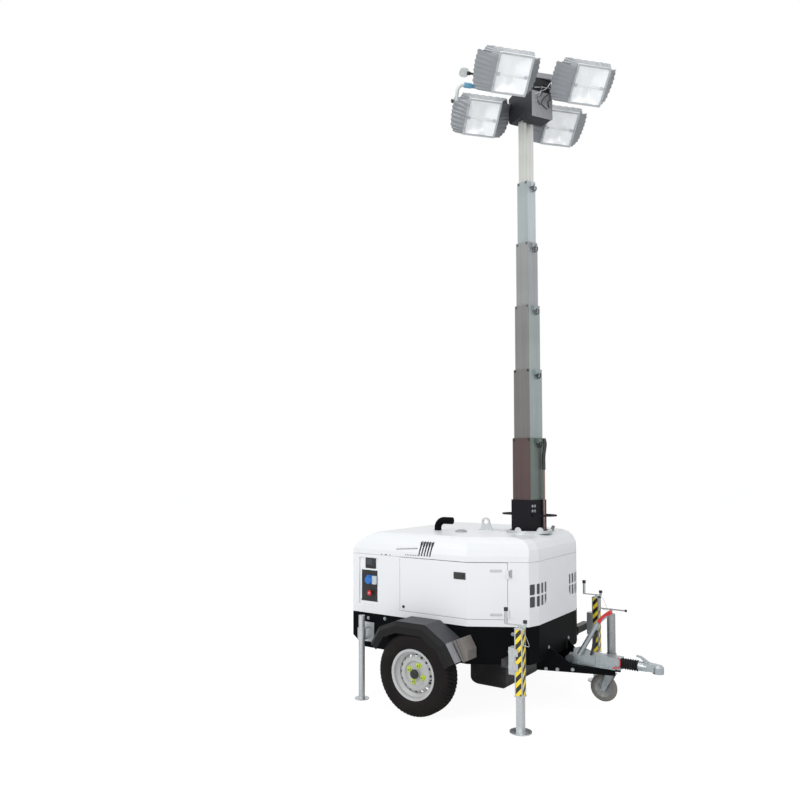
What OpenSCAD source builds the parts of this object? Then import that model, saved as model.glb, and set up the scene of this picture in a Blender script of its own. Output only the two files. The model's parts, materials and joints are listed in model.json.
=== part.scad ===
// Towed mobile light tower: canopied generator on one axle, telescopic mast, four floodlights.
// Millimetres. +X to the tow coupling, +Y to the left side, +Z up, origin on the ground.

/* [Trailer] */
// Axle to the rear of the body
tail_l = 709; // [640:1:760]
// Front face of the body to the nose of the coupling
drawbar_l = 772; // [710:1:900]
// Gap between the body's side and the tyre
wheel_gap = 62.5; // [55:0.5:80]
// Tyre outside diameter
tyre_d = 594; // [560:2:610]
// Tyre width
tyre_w = 165; // [145:5:175]
// Rim diameter over its flanges
rim_d = 362; // [340:2:380]
// Number of wheel nuts
wheel_nuts = 4; // [4:1:6]
// Number of vent holes in a wheel disc
wheel_vents = 16; // [10:1:20]
// Axle tube, square size
axle_tube = 70; // [60:5:80]
// Axle tube ahead of the wheel's centre
axle_lead = 96; // [90:1:110]

/* [Body] */
// Width of the body over its doors
body_w = 1340; // [1300:10:1350]
// How far each tapered side comes in by the front
taper_in = 225; // [215:5:240]
// Width of the slanted facet beside the front face, seen from ahead
facet_w = 100; // [85:5:120]
// Depth of the slanted facets beside the front face
nose_facet = 31; // [20:1:40]
// Axle to the crease where the sides start to taper
crease_x = 320; // [300:5:340]
// Axle to the front face
front_x = 730; // [722:1:740]
// Height of the tub's underside
tub_z = 375; // [370:1:385]
// Height of the tub's top edge
sill_z = 640; // [630:1:650]
// Height of the bottom of the doors
door_z = 692; // [690:1:700]
// Height of the seam between the doors and the hood
hood_z = 1093; // [1080:1:1110]
// Height of the roof
roof_z = 1266; // [1250:1:1290]
// Thickness of the tub's sheet
tub_t = 4; // [3:0.5:6]
// Thickness of the canopy walls and doors, with lining
wall_t = 30; // [20:1:40]
// Thickness of the hood
hood_t = 8; // [5:1:12]
// Seam between panels
seam = 3; // [2:0.5:5]
// Axle to the rear edge of the doors
door_back = -259; // [-270:1:-240]
// Axle to the hinge line of the doors
hinge_x = 570; // [560:1:580]

/* [Mast] */
// Outside width of the fixed mast section
mast_w = 190; // [186:1:200]
// Step in width from one section to the next
mast_step = 18; // [18:0.5:19]
// Wall of a mast section
mast_t = 4; // [3:0.5:5]
// Length of each moving section
section_l = 1150; // [1100:10:1200]
// Axle to the mast's axis
mast_x = 495; // [480:1:510]
// Turn of the mast about its axis at rest
mast_turn = -14; // [-20:1:0]
// Top of the fixed section
mast_top = 1520; // [1500:1:1540]

/* [Lamps] */
// Width of a floodlight's front
lamp_w = 274; // [264:2:300]
// Height of a floodlight's front
lamp_h = 275; // [255:5:280]
// Depth of a floodlight's case
lamp_d = 190; // [170:5:200]
// Depth from the glass to the widest part of the case
flare_d = 100; // [80:5:110]
// Turn of the lamp head on the mast
head_turn = -16; // [-40:1:0]
// Downward tilt of the floodlights at rest
lamp_tilt = 40; // [10:1:50]

/* [Stands] */
// Axle to the outrigger beams
beam_x = 660; // [640:1:662]
// Outrigger beam, square size
beam_w = 55; // [50:1:56]
// Height of the outrigger beams' axis
beam_z = 446; // [440:1:460]
// Centre of a front leg outside the body's side
leg_out = 50; // [40:5:70]
// Axle to the front legs
leg_x = 760; // [758:1:780]
// Front leg tube, square size
leg_w = 56; // [52:1:58]
// Diameter of a foot plate
foot_d = 150; // [120:5:170]
// Rear legs ahead of the body's rear
prop_ahead = 149; // [120:1:170]
// Centre of a rear leg outside the body's side
prop_out = 82; // [75:1:100]
// Diameter of a rear leg
prop_d = 48; // [42:1:50]
// Side of the jockey wheel's tube from the centre line
jockey_y = 112; // [108:1:120]
// Jockey wheel's tube behind the nose of the coupling
jockey_back = 407; // [392:1:422]
// Height of the jockey wheel's underside
jockey_rise = 40; // [38:1:60]
// Diameter of the jockey wheel
jockey_d = 200; // [190:5:205]

/* [Clearances] */
// Radial clearance of a running pin
pin_gap = 0.08; // [0.05:0.01:0.1]
// Gap at each side of a sliding tube
slide_gap = 0.4; // [0.3:0.1:0.6]

/* [Hidden] */
$fn = 48;
nose_l = front_x + drawbar_l;
axle_x = (tail_l - nose_l) / 2;
prop_x = prop_ahead - tail_l;
jockey_x = nose_l - jockey_back;
wheel_r = tyre_d / 2;
half_w = body_w / 2;
half_front = half_w - taper_in;
nose_w = 2 * (half_front - facet_w);
track_w = body_w + 2 * wheel_gap + tyre_w;
leg_y = half_w + leg_out;
prop_y = half_w + prop_out;
corner_x = front_x - nose_facet;
taper = atan2(half_w - half_front, corner_x - crease_x);
facet = atan2(nose_facet, half_front - nose_w / 2);
hinge_y = half_w - (hinge_x - crease_x) * tan(taper);
side_out = track_w / 2 + tyre_w / 2 + 10;

// Mast sections: how far each stands out of the one before it at rest
section_out = [475, 533, 500, 493, 481, 494];
function section_top(i) = i == 0 ? mast_top : section_top(i - 1) + section_out[i - 1];
function section_w(i) = mast_w - i * mast_step;

// Everything below is drawn from the axle, then moved to the frame's origin
module from_axle() translate([axle_x, 0, 0]) children();
module mirror_y(on) mirror([0, on ? 1 : 0, 0]) children();
module both_sides() for (on = [false, true]) mirror_y(on) children();
module box(x0, x1, y0, y1, z0, z1) translate([x0, y0, z0]) cube([x1 - x0, y1 - y0, z1 - z0]);
module slab(z0, z1) translate([0, 0, z0]) linear_extrude(z1 - z0) children();
// Runs a profile drawn in X and Z along Y from y0 to y1
module along_y(y0, y1) translate([0, y1, 0]) rotate([90, 0, 0]) linear_extrude(y1 - y0) children();
module rod(r, l) cylinder(r = r, h = l);
module rod_y(r, l) rotate([-90, 0, 0]) cylinder(r = r, h = l, center = true);
module rod_x(r, l) rotate([0, 90, 0]) cylinder(r = r, h = l);

// Corner of two edges, each given by the angle of its outward normal and its distance from the axle
function corner(a1, d1, a2, d2) =
    [d1 * sin(a2) - d2 * sin(a1), d2 * cos(a1) - d1 * cos(a2)] / sin(a2 - a1);
// Plan of the body with the sides, rear and front drawn in by si, ri and fi
function plan_half(si, ri, fi) = let (
    taper_d = crease_x * sin(taper) + half_w * cos(taper) - si,
    facet_d = front_x * cos(facet) + nose_w / 2 * sin(facet) - fi) [
    [-tail_l + ri, half_w - si],
    corner(90, half_w - si, 90 - taper, taper_d),
    corner(90 - taper, taper_d, facet, facet_d),
    corner(facet, facet_d, 0, front_x - fi)
];
function plan_ring(si, ri, fi) = let (h = plan_half(si, ri, fi))
    concat([for (p = h) [p.x, -p.y]], [for (i = [3:-1:0]) h[i]]);
module plan(d) polygon(plan_ring(d, d, d));
module plan_wall(d, t) difference() { plan(d); plan(d + t); }

// Solid through rings of points, each ring given as [z, side, rear, front]
module ring_loft(rings) {
    n = 8;
    points = [for (r = rings) for (p = plan_ring(r[1], r[2], r[3])) [p.x, p.y, r[0]]];
    last = (len(rings) - 1) * n;
    sides = [for (k = [0:len(rings) - 2]) for (i = [0:n - 1])
        [k * n + i, (k + 1) * n + i, (k + 1) * n + (i + 1) % n, k * n + (i + 1) % n]];
    polyhedron(points, concat(sides, [[for (i = [0:n - 1]) i]], [[for (i = [n - 1:-1:0]) last + i]]));
}

// Black steel tub with its floor and sloped rear edge, where the outriggers pass through
cut_l = 110; cut_h = 80;
module tub() from_axle() color("black") {
    difference() {
        union() {
            slab(tub_z, sill_z) plan_wall(0, tub_t);
            slab(tub_z, tub_z + tub_t) plan(0);
            slab(sill_z - tub_t, sill_z) plan_wall(0, wall_t);
        }
        box(beam_x - sleeve_w / 2, beam_x + sleeve_w / 2, -half_w, half_w,
            beam_z - sleeve_w / 2, beam_z + sleeve_w / 2);
        along_y(-half_w - 1, half_w + 1) polygon([[-tail_l - 1, tub_z - 1], [cut_l - tail_l, tub_z - 1],
            [cut_l - tail_l, tub_z], [-tail_l, tub_z + cut_h], [-tail_l - 1, tub_z + cut_h]]);
    }
    along_y(-half_w, half_w) polygon([[cut_l - tail_l, tub_z], [cut_l - tail_l + tub_t, tub_z + tub_t],
        [-tail_l + tub_t, tub_z + cut_h + tub_t], [-tail_l, tub_z + cut_h]]);
}

// V-shaped drawbar: two tall plates that meet at the overrun housing
bar_back_x = 640; bar_back_y = 200;
bar_neck_x = front_x + 175; bar_nose_x = nose_l - 322; bar_nose_y = 62;
bar_t = 8; bar_low = 279; bar_neck_z = 327; bar_rise = 72;
module drawbar() from_axle() color("dimgray") {
    both_sides() {
        turn = atan2(bar_back_y - bar_nose_y, bar_nose_x - bar_back_x - 120);
        run = (bar_nose_x - 120 - bar_back_x) / cos(turn);
        translate([bar_back_x, bar_back_y, 0]) rotate(-turn) along_y(-bar_t, 0)
            polygon([[0, bar_low], [run, bar_low], [run, bar_neck_z], [bar_neck_x - bar_back_x, bar_neck_z],
                [(front_x + 6 - bar_back_x) / cos(turn), tub_z + bar_rise],
                [(front_x + 6 - bar_back_x) / cos(turn), tub_z - 1], [0, tub_z - 1]]);
        along_y(bar_nose_y - bar_t, bar_nose_y) polygon([[bar_nose_x - 120, bar_low],
            [bar_nose_x, bar_low + 8], [bar_nose_x, bar_neck_z], [bar_nose_x - 120, bar_neck_z]]);
    }
    box(bar_back_x, bar_back_x + bar_t, -bar_back_y, bar_back_y, bar_low, tub_z);
    box(bar_nose_x - 110, bar_nose_x - 102, -bar_nose_y + 1, bar_nose_y - 1, bar_low + 8, bar_neck_z - 8);
}

// Galvanised overrun housing bolted between the plates
house_x0 = front_x + 70; house_x1 = nose_l - 292; house_z1 = 408; house_hw = 45; draw_z = 368;
module overrun_housing() from_axle() color("silver") difference() {
    union() {
        along_y(-house_hw, house_hw) polygon([[house_x0, bar_neck_z], [house_x1, bar_neck_z],
            [house_x1, house_z1], [house_x0 + 60, house_z1], [house_x0, house_z1 - 40]]);
        box(house_x0 + 60, house_x1 - 30, -bar_nose_y, bar_nose_y, bar_neck_z, bar_neck_z + 8);
    }
    translate([house_x0 - 1, 0, draw_z]) rod_x(draw_r + slide_gap, house_x1 - house_x0 + 2);
}

// Rubber bellows over the drawtube
draw_r = 25; bellows_x1 = house_x1 + 120; folds = 7;
module bellows() from_axle() color("black") translate([house_x1, 0, draw_z]) rotate([0, 90, 0])
    rotate_extrude() polygon(concat([[draw_r + 0.3, bellows_x1 - house_x1], [draw_r + 0.3, 0]],
        [for (i = [0:2 * folds]) [i % 2 == 0 ? 31 : 40, i * (bellows_x1 - house_x1) / (2 * folds)]]));

// Drawtube and ball coupling
ball_r = 25; ball_x = nose_l - 38;
module coupling_head() from_axle() color("silver") {
    difference() {
        union() {
            translate([house_x0 + 20, 0, draw_z]) rod_x(draw_r, bellows_x1 - house_x0);
            translate([bellows_x1, 0, draw_z]) rod_x(33, 60);
            along_y(-30, 30) polygon([[bellows_x1 + 40, draw_z - 24], [bellows_x1 + 40, draw_z + 30],
                [ball_x - 20, draw_z + 26], [ball_x + 10, draw_z + 8], [ball_x + 10, draw_z - 24]]);
            translate([ball_x, 0, draw_z - 34]) rod(38, 44);
            translate([ball_x, 0, draw_z + 10]) cylinder(r1 = 38, r2 = 26, h = 14);
        }
        translate([ball_x, 0, draw_z - 16]) sphere(r = ball_r + 0.3);
        translate([ball_x, 0, draw_z - 50]) rod(ball_r + 0.3, 34);
    }
    along_y(-9, 9) polygon([[ball_x - 60, draw_z + 28], [ball_x - 40, draw_z + 24], [ball_x - 118, draw_z + 70],
        [ball_x - 150, draw_z + 74], [ball_x - 150, draw_z + 62], [ball_x - 122, draw_z + 58],
        [ball_x - 90, draw_z + 28]]);
}

// Handbrake lever with its cranked grip, on a side plate with a gas strut
brake_x = house_x0 + 119; brake_z = draw_z + 36;
brake_bend = [brake_x + 145, brake_z + 248]; brake_tip = [brake_x + 234, brake_z + 333];
module handbrake() from_axle() color("silver") translate([0, -house_hw, 0]) {
    difference() {
        along_y(-6, 0) polygon([[brake_x - 60, brake_z - 66], [brake_x + 110, brake_z - 66],
            [brake_x + 110, brake_z + 26], [brake_x + 10, brake_z + 56], [brake_x - 50, brake_z + 36]]);
        translate([brake_x, 0, brake_z]) rod_y(6, 30);
    }
    translate([brake_x, -15, brake_z]) rod_y(5.9, 28);
    bar_between([brake_x, brake_z], brake_bend, -26, 18);
    bar_between(brake_bend, brake_tip, -26, 13);
    bar_between([brake_x + 88, brake_z + 6], brake_bend + [-6, -44], -26, 7);
    translate([brake_x + 88, -15, brake_z + 6]) rod_y(5, 28);
}
// Round bar of radius r from point a to point b, given in X and Z, at the depth y
module bar_between(a, b, y, r) translate([a.x, y, a.y])
    rotate([0, atan2(b.x - a.x, b.y - a.y), 0]) rod(r, norm(b - a));

// Torsion axle with trailing arms, brake drums and stub shafts
hub_r = 30; drum_r = 112; stub_r = 17; stub_l = 90; drum_gap = 8;
module axle() from_axle() color("dimgray") {
    tube_z = tub_z - axle_tube / 2;
    box(axle_lead - axle_tube / 2, axle_lead + axle_tube / 2, -half_w + 20, half_w - 20,
        tube_z - axle_tube / 2, tube_z + axle_tube / 2);
    both_sides() {
        arm_y = half_w - 20;
        along_y(arm_y, arm_y + 26) polygon([[axle_lead + 32, tube_z + 30], [axle_lead + 32, tube_z - 32],
            [-20, wheel_r - 30], [-20, wheel_r + 30], [0, wheel_r + 34]]);
        translate([0, (arm_y + 26 + drum_back_y) / 2, wheel_r]) rod_y(24, drum_back_y - arm_y - 26);
        translate([0, drum_back_y + 3, wheel_r]) rod_y(drum_r, 6);
        translate([0, drum_back_y + stub_l / 2, wheel_r]) rod_y(stub_r, stub_l);
    }
}
drum_back_y = half_w + 24;

// Folded sheet mudguards: top, chamfer and outer flange follow one outline
guard_line = [[-375, 480], [-300, 600], [-150, 660], [100, 660], [270, 550], [345, 425]];
guard_t = 3; guard_chamfer = 30; guard_flange = 50;
function unit(v) = v / norm(v);
function left_of(v) = [-v.y, v.x];
// Outline moved inwards by d, with mitred corners
function inside(line, d) = [for (i = [0:len(line) - 1]) let (
    a = left_of(unit(line[max(i, 1)] - line[max(i, 1) - 1])),
    j = min(i, len(line) - 2), b = left_of(unit(line[j + 1] - line[j])))
    line[i] - d * (a + b) / (1 + a * b)];
function band(a, b) = concat(a, [for (i = [len(b) - 1:-1:0]) b[i]]);
module fenders() from_axle() color("black") both_sides() {
    along_y(half_w, side_out - guard_chamfer) polygon(band(guard_line, inside(guard_line, guard_t)));
    along_y(side_out - guard_t, side_out)
        polygon(band(inside(guard_line, guard_chamfer), inside(guard_line, guard_chamfer + guard_flange)));
    fold_strip(guard_line, inside(guard_line, guard_chamfer), side_out - guard_chamfer, side_out, guard_t);
}
// Sloping strip from one outline at y0 to another at y1
module fold_strip(a, b, y0, y1, t) {
    n = len(a);
    a2 = inside(a, t * 1.4); b2 = inside(b, t * 1.4);
    points = concat([for (p = a) [p.x, y0, p.y]], [for (p = b) [p.x, y1, p.y]],
        [for (p = b2) [p.x, y1, p.y]], [for (p = a2) [p.x, y0, p.y]]);
    quads = concat([for (r = [0:3]) for (i = [0:n - 2])
        [r * n + i, ((r + 1) % 4) * n + i, ((r + 1) % 4) * n + i + 1, r * n + i + 1]],
        [[0, 3 * n, 2 * n, n], [n - 1, 2 * n - 1, 3 * n - 1, 4 * n - 1]]);
    polyhedron(points, [for (q = quads) each [[q[0], q[1], q[2]], [q[0], q[2], q[3]]]]);
}

// Belly fuel tank with rounded lower edges all round
tank_x0 = 140; tank_x1 = 441; tank_hw = 300; tank_z = 110; tank_round = 70;
module fuel_tank() from_axle() color("black") intersection() {
    along_y(-tank_hw, tank_hw) tank_profile(tank_x0, tank_x1);
    rotate([90, 0, 90]) linear_extrude(tank_x1) tank_profile(-tank_hw, tank_hw);
}
module tank_profile(x0, x1) {
    translate([x0, tank_z + tank_round]) square([x1 - x0, tub_z - tank_z - tank_round]);
    translate([x0 + tank_round, tank_z]) square([x1 - x0 - 2 * tank_round, tank_round + 1]);
    for (x = [x0 + tank_round, x1 - tank_round]) translate([x, tank_z + tank_round]) circle(tank_round);
}

// Wheel chocks carried on the tub's sides ahead of the mudguards
chock_front = 400; chock_z0 = 398; chock_z1 = 588; chock_y = half_w + 120;
module wheel_chocks() from_axle() color("gray") both_sides() difference() {
    union() {
        along_y(half_w, chock_y) polygon([[chock_front - 35, chock_z0], [chock_front, chock_z0],
            [chock_front, chock_z1], [chock_front - 110, chock_z1], [chock_front - 110, chock_z1 - 40]]);
        box(chock_front - 118, crease_x - 2, half_w, half_w + 5, chock_z1 - 60, chock_z1 + 16);
    }
    for (i = [0:4]) box(chock_front - 6, chock_front + 1, half_w - 1, chock_y + 1,
        chock_z0 + 12 + i * 36, chock_z0 + 30 + i * 36);
}

// Engine and generator as one block on the tub's floor
engine_x0 = 229 - tail_l; engine_x1 = 250; engine_hw = half_w - 410; engine_z = hood_z - 93;
module engine() from_axle() color("gray")
    box(engine_x0, engine_x1, -engine_hw, engine_hw, tub_z + tub_t, engine_z);

// Fixed canopy walls around the doors, with the control bay in the right one
bay_x0 = 59 - tail_l; bay_x1 = 247 - tail_l; bay_z0 = 705; bay_z1 = 1068;
module door_plan(grow) polygon([[door_back - grow, half_w + 50], [door_back - grow, half_w - wall_t - 1],
    [hinge_x - 60, half_w - wall_t - 200],
    [hinge_x + (grow - 260 * sin(taper)), hinge_y - 260 * cos(taper)], [hinge_x + grow, hinge_y],
    [hinge_x + (grow + 60 * sin(taper)), hinge_y + 60 * cos(taper)], [hinge_x, half_w + 50]]);
// Hinge: leaf and pin on the fixed wall, leaf and barrel on the door, about an axis just proud of both
hinge_out = 9; pin_r = 4; barrel_r = 8; leaf_l = 52; leaf_t = 3; hinge_h = 60; lug_h = 18;
hinge_rows = [704, 980];
module hinge_place(z) translate([hinge_x, hinge_y, z]) rotate(-taper) translate([0, hinge_out, 0]) children();
module leaf(x0, x1, z0, z1) box(x0, x1, -hinge_out, -hinge_out + leaf_t, z0, z1);
module hinge_fixed() for (z = hinge_rows) hinge_place(z) {
    leaf(barrel_r + 2, leaf_l, 0, hinge_h);
    box(0, barrel_r + 4, -hinge_out + 1, 0, 0, lug_h);
    rod(barrel_r, lug_h);
    rod(pin_r, hinge_h);
}
module hinge_moving() for (z = hinge_rows) hinge_place(z) difference() {
    union() {
        leaf(-leaf_l, -seam / 2, lug_h + slide_gap, hinge_h);
        box(-barrel_r, 0, -hinge_out + 1, 0, lug_h + slide_gap, hinge_h);
        translate([0, 0, lug_h + slide_gap]) rod(barrel_r, hinge_h - lug_h - slide_gap);
    }
    rod(pin_r + pin_gap, hinge_h + 1);
}
side_end_x = corner_x - wall_t;
module side_panels() from_axle() color("white") difference() {
    both_sides() {
        hinge_fixed();
        difference() {
            slab(sill_z, hood_z) intersection() {
                plan_wall(0, wall_t);
                translate([-tail_l + wall_t, half_w - 260]) square([side_end_x + tail_l - wall_t, 300]);
            }
            slab(door_z - seam, hood_z + 1) intersection() { plan_wall(-1, wall_t + 2); door_plan(seam / 2); }
        }
    }
    box(bay_x0, bay_x1, -half_w - 1, -half_w + wall_t + 1, bay_z0, bay_z1);
}

module rear_panel() from_axle() color("white")
    box(-tail_l, -tail_l + wall_t, -half_w, half_w, sill_z, hood_z);

// Front wall with two slotted air grilles
slot_h = 76; slot_pitch_z = 87; grille_y = half_front - 8; grille_z = 855; grille_r = 170;
slots = [[28, 56], [92, 44], [152, 40], [208, 34]];  // columns: place from the corner, width
module front_panel() from_axle() color("white") difference() {
    slab(sill_z, hood_z) intersection() {
        plan_wall(0, wall_t);
        translate([side_end_x, -half_w]) square([wall_t + nose_facet, body_w]);
    }
    both_sides() translate([corner_x - wall_t - 2, grille_y, grille_z]) rotate([90, 0, 90])
        linear_extrude(wall_t + nose_facet + 4) grille();
}
// Two rows of slots, cut off by an arc on the side towards the middle
module grille() intersection() {
    for (row = [-0.5, 0.5], col = slots) translate([-col[0], row * slot_pitch_z])
        round_slot(col[1], slot_h, 10);
    union() {
        translate([-80, 40]) circle(grille_r, $fn = 64);
        translate([-80, -slot_pitch_z]) square([80, 2 * slot_pitch_z]);
    }
}
module round_slot(w, h, r) {
    square([w - 2 * r, h], center = true);
    square([w, h - 2 * r], center = true);
    for (x = [-1, 1], y = [-1, 1]) translate([x * (w / 2 - r), y * (h / 2 - r)]) circle(r);
}

// The hood's rim seats on the walls through a gasket that is set back from the seam
gasket_in = 5; gasket_w = 9; seat_gap = 0.3; louvre_x = -76;
// One-piece hood: upright rim, steep sides, long slope at the rear, rounded front
hood_rings = [[hood_z + seam, 0, 0, 0], [roof_z - 131, 0, 0, 0], [roof_z - 86, 10, 45, 5],
    [roof_z - 44, 26, 100, 24], [roof_z - 16, 44, 158, 58], [roof_z, 66, 190, 112]];
module hood() from_axle() color("white") difference() {
    union() {
        ring_loft(hood_rings);
        slab(hood_z + seat_gap, hood_z + 2 * seam) plan_wall(gasket_in, gasket_w);
    }
    ring_loft([for (r = hood_rings) [r[0] - (r == hood_rings[0] ? 2 * seam : hood_t),
        r[1] + gasket_in + gasket_w, r[2] + gasket_in + gasket_w, r[3] + gasket_in + gasket_w]]);
    translate([mast_x, 0, roof_z - 100]) rod(turret_r, 200);
    translate([exhaust_x, exhaust_y, roof_z - 100]) rod(exhaust_r + 4, 200);
    for (i = [0:4]) translate([louvre_x + i * 24, -half_w + 20, hood_z + 71]) rotate([0, 12, 0])
        cube([13, 120, 112], center = true);
}

// Control panel in its bay, with the screen's hood above
module control_panel() from_axle() color("black") {
    difference() {
        box(bay_x0, bay_x1, -half_w + 14, -half_w + wall_t, bay_z0, bay_z1);
        translate([socket_x, -half_w + 20, socket_z]) rod_y(socket_r - 6, 60);
    }
}
socket_x = bay_x0 + 102; socket_z = 896; socket_r = 30;
module socket() from_axle() color("blue") translate([socket_x, -half_w + 14, socket_z]) difference() {
    union() {
        translate([-34, -5, -34]) cube([68, 4.7, 68]);
        translate([0, -20, 0]) rod_y(socket_r, 30);
        translate([0, 4, 0]) rod_y(socket_r - 6.3, 18);
    }
    translate([0, -30, 0]) rod_y(socket_r - 6, 40);
}
stop_x = bay_x0 + 106; stop_z = 795;
module stop_button() from_axle() color("red") translate([stop_x, -half_w + 14, stop_z]) {
    translate([0, -8.3, 0]) rod_y(10, 16);
    translate([0, -20, 0]) rod_y(20, 10);
}

// Exhaust pipe through the hood, bent to the front
exhaust_x = -195; exhaust_y = 445 - half_w; exhaust_r = 28; exhaust_bend = 60; exhaust_end = 75;
module exhaust() from_axle() color("black") translate([exhaust_x, exhaust_y, 0]) {
    translate([0, 0, engine_z + seat_gap]) rod(exhaust_r, roof_z + 20 - engine_z - seat_gap);
    translate([exhaust_bend, 0, roof_z + 20]) {
        mirror([1, 0, 0]) rotate([90, 0, 0]) rotate_extrude(angle = 90) translate([exhaust_bend, 0]) circle(exhaust_r);
        translate([0, 0, exhaust_bend]) rod_x(exhaust_r, exhaust_end);
    }
}

// Lifting eye on a strap along the roof to the mast's seat
eye_x = 118; eye_z = 1330; eye_bore = 22;
module lifting_frame() from_axle() color("silver") {
    difference() {
        union() {
            along_y(-8, 8) polygon([[eye_x - 45, roof_z], [eye_x + 60, roof_z], [eye_x + 34, eye_z],
                [eye_x - 34, eye_z]]);
            translate([eye_x, 0, eye_z]) rod_y(36, 16);
        }
        translate([eye_x, 0, eye_z]) rod_y(eye_bore, 20);
    }
    box(eye_x - 45, mast_x - collar_r + 4, -40, 40, roof_z, roof_z + 8);
    translate([590, 215, roof_z]) {
        translate([-25, -20, 0]) cube([50, 40, 5]);
        along_y(-4, 4) polygon([[-16, 4], [16, 4], [28, 40], [4, 44]]);
    }
}

// Bearing ring that carries the mast on the roof
collar_r = 175; turret_r = 150; gusset_turns = [-95, -35, 85, 145];
module mast_collar() from_axle() color("silver") translate([mast_x, 0, roof_z]) {
    difference() {
        rod(collar_r, 22);
        translate([0, 0, -1]) rod(turret_r - 10, 30);
        translate([0, 0, 12]) rod(turret_r + slide_gap, 30);
        translate([-collar_r - 1, -60, -1]) cube([30, 120, 40]);
    }
    for (a = gusset_turns) rotate(a) translate([turret_r + 8, 0, 21]) rotate([90, 0, 90])
        linear_extrude(8) intersection() { circle(28); translate([-30, 0]) square(60); }
}

// Sleeve across the tub for the outrigger beams
sleeve_t = 5; sleeve_w = beam_w + 2 * (slide_gap + sleeve_t);
module stand_sleeves() from_axle() color("silver") difference() {
    y = half_w - (beam_x - crease_x) * tan(taper) + 22;
    box(beam_x - sleeve_w / 2 + 0.3, beam_x + sleeve_w / 2 - 0.3, -y, y, beam_z - sleeve_w / 2 + 0.3,
        beam_z + sleeve_w / 2 - 0.3);
    box(beam_x - beam_w / 2 - slide_gap, beam_x + beam_w / 2 + slide_gap, -y - 1, y + 1,
        beam_z - beam_w / 2 - slide_gap, beam_z + beam_w / 2 + slide_gap);
}

// Clamps that hold the rear legs to the tub's sides
clamp_z = 450; clamp_h = 90;
module prop_clamps() from_axle() color("silver") both_sides() difference() {
    union() {
        box(prop_x - 30, prop_x + 30, half_w, prop_y, clamp_z, clamp_z + 8);
        box(prop_x - 30, prop_x + 30, half_w, prop_y, clamp_z + clamp_h - 8, clamp_z + clamp_h);
        box(prop_x - 60, prop_x + 60, half_w, half_w + 6, clamp_z - 30, clamp_z + clamp_h + 30);
        translate([prop_x, prop_y, clamp_z]) rod(prop_d / 2 + 8, clamp_h);
    }
    translate([prop_x, prop_y, 0]) rod(prop_d / 2 + slide_gap, 700);
}

// Jockey wheel's outer tube, clamped to the left drawbar plate, with its crank
jockey_tube_r = 30; jockey_tube_z0 = 421; jockey_tube_z1 = 689;
module jockey_tube() from_axle() color("silver") {
    difference() {
        union() {
            translate([jockey_x, jockey_y, bar_neck_z - 20]) rod(jockey_tube_r, jockey_tube_z1 - bar_neck_z + 20);
            box(jockey_x - 34, jockey_x + 36, bar_nose_y, jockey_y, bar_low + 14, bar_neck_z - 2);
            translate([jockey_x, jockey_y, bar_low + 14]) rod(36, bar_neck_z - bar_low + 60);
        }
        translate([jockey_x, jockey_y, 0]) rod(jockey_tube_r - 4, jockey_tube_z1 - 8);
    }
    translate([jockey_x, jockey_y, jockey_tube_z1 - 1]) rod(10, 38);
    box(jockey_x - 98, jockey_x + 106, jockey_y - 7, jockey_y + 7, jockey_tube_z1 + 28, jockey_tube_z1 + 36);
    translate([jockey_x - 88, jockey_y, jockey_tube_z1 + 30]) rod(12, 88);
}

// Doors: bent plates that follow the crease, with hinge straps
module door() {
    difference() {
        slab(door_z, hood_z - seam) intersection() { plan_wall(0, wall_t); door_plan(-seam / 2); }
        box(latch_x0 - slide_gap, latch_x1 + slide_gap, half_w - 12.3, half_w + 1,
            latch_z0 - slide_gap, latch_z1 + slide_gap);
    }
    hinge_moving();
}
module door_right() from_axle() color("white") mirror_y(true) door();
module door_left() from_axle() color("white") door();

latch_x0 = 215; latch_x1 = 313; latch_z0 = 968; latch_z1 = 1018;
module latch() {
    box(latch_x0, latch_x1, half_w - 12, half_w + 2, latch_z0, latch_z1);
    box(latch_x0 + 8, latch_x1 - 20, half_w + 2, half_w + 8, latch_z0 + 12, latch_z1 - 12);
}
module latch_right() from_axle() color("black") mirror_y(true) latch();
module latch_left() from_axle() color("black") latch();

// Tyre and rim about the wheel's axis, drawn as profiles of radius and width
module wheel_place() translate([0, track_w / 2, wheel_r]) rotate([-90, 0, 0]) children();
rim_hw = tyre_w / 2 - 14; rim_lip = 3; tread_hw = 58; bead_drop = 12;
function tyre_side(s) = [
    [rim_d / 2 - bead_drop, s * (rim_hw - rim_lip - seat_gap)], [rim_d / 2 + 1, s * (rim_hw - rim_lip - seat_gap)],
    [rim_d / 2 + 5, s * (rim_hw + 5)], [wheel_r - 66, s * (tyre_w / 2 - 2)], [wheel_r - 50, s * tyre_w / 2],
    [wheel_r - 10, s * (tread_hw + 12)]];
module tyre() {
    side_hw = tyre_w / 2;
    rotate_extrude($fn = 96) difference() {
        union() {
            translate([wheel_r - 20, -tread_hw]) square([20, 2 * tread_hw]);
            translate([wheel_r - 22, tread_hw - 2]) circle(22, $fn = 32);
            translate([wheel_r - 22, -tread_hw + 2]) circle(22, $fn = 32);
            polygon(concat(tyre_side(-1), [for (i = [5:-1:0]) tyre_side(1)[i]]));
        }
        translate([0, -side_hw + 22]) square([wheel_r - 14, tyre_w - 44]);
    }
}
module tyre_right() from_axle() color("black") mirror_y(true) wheel_place() tyre();
module tyre_left() from_axle() color("black") wheel_place() tyre();

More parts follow.
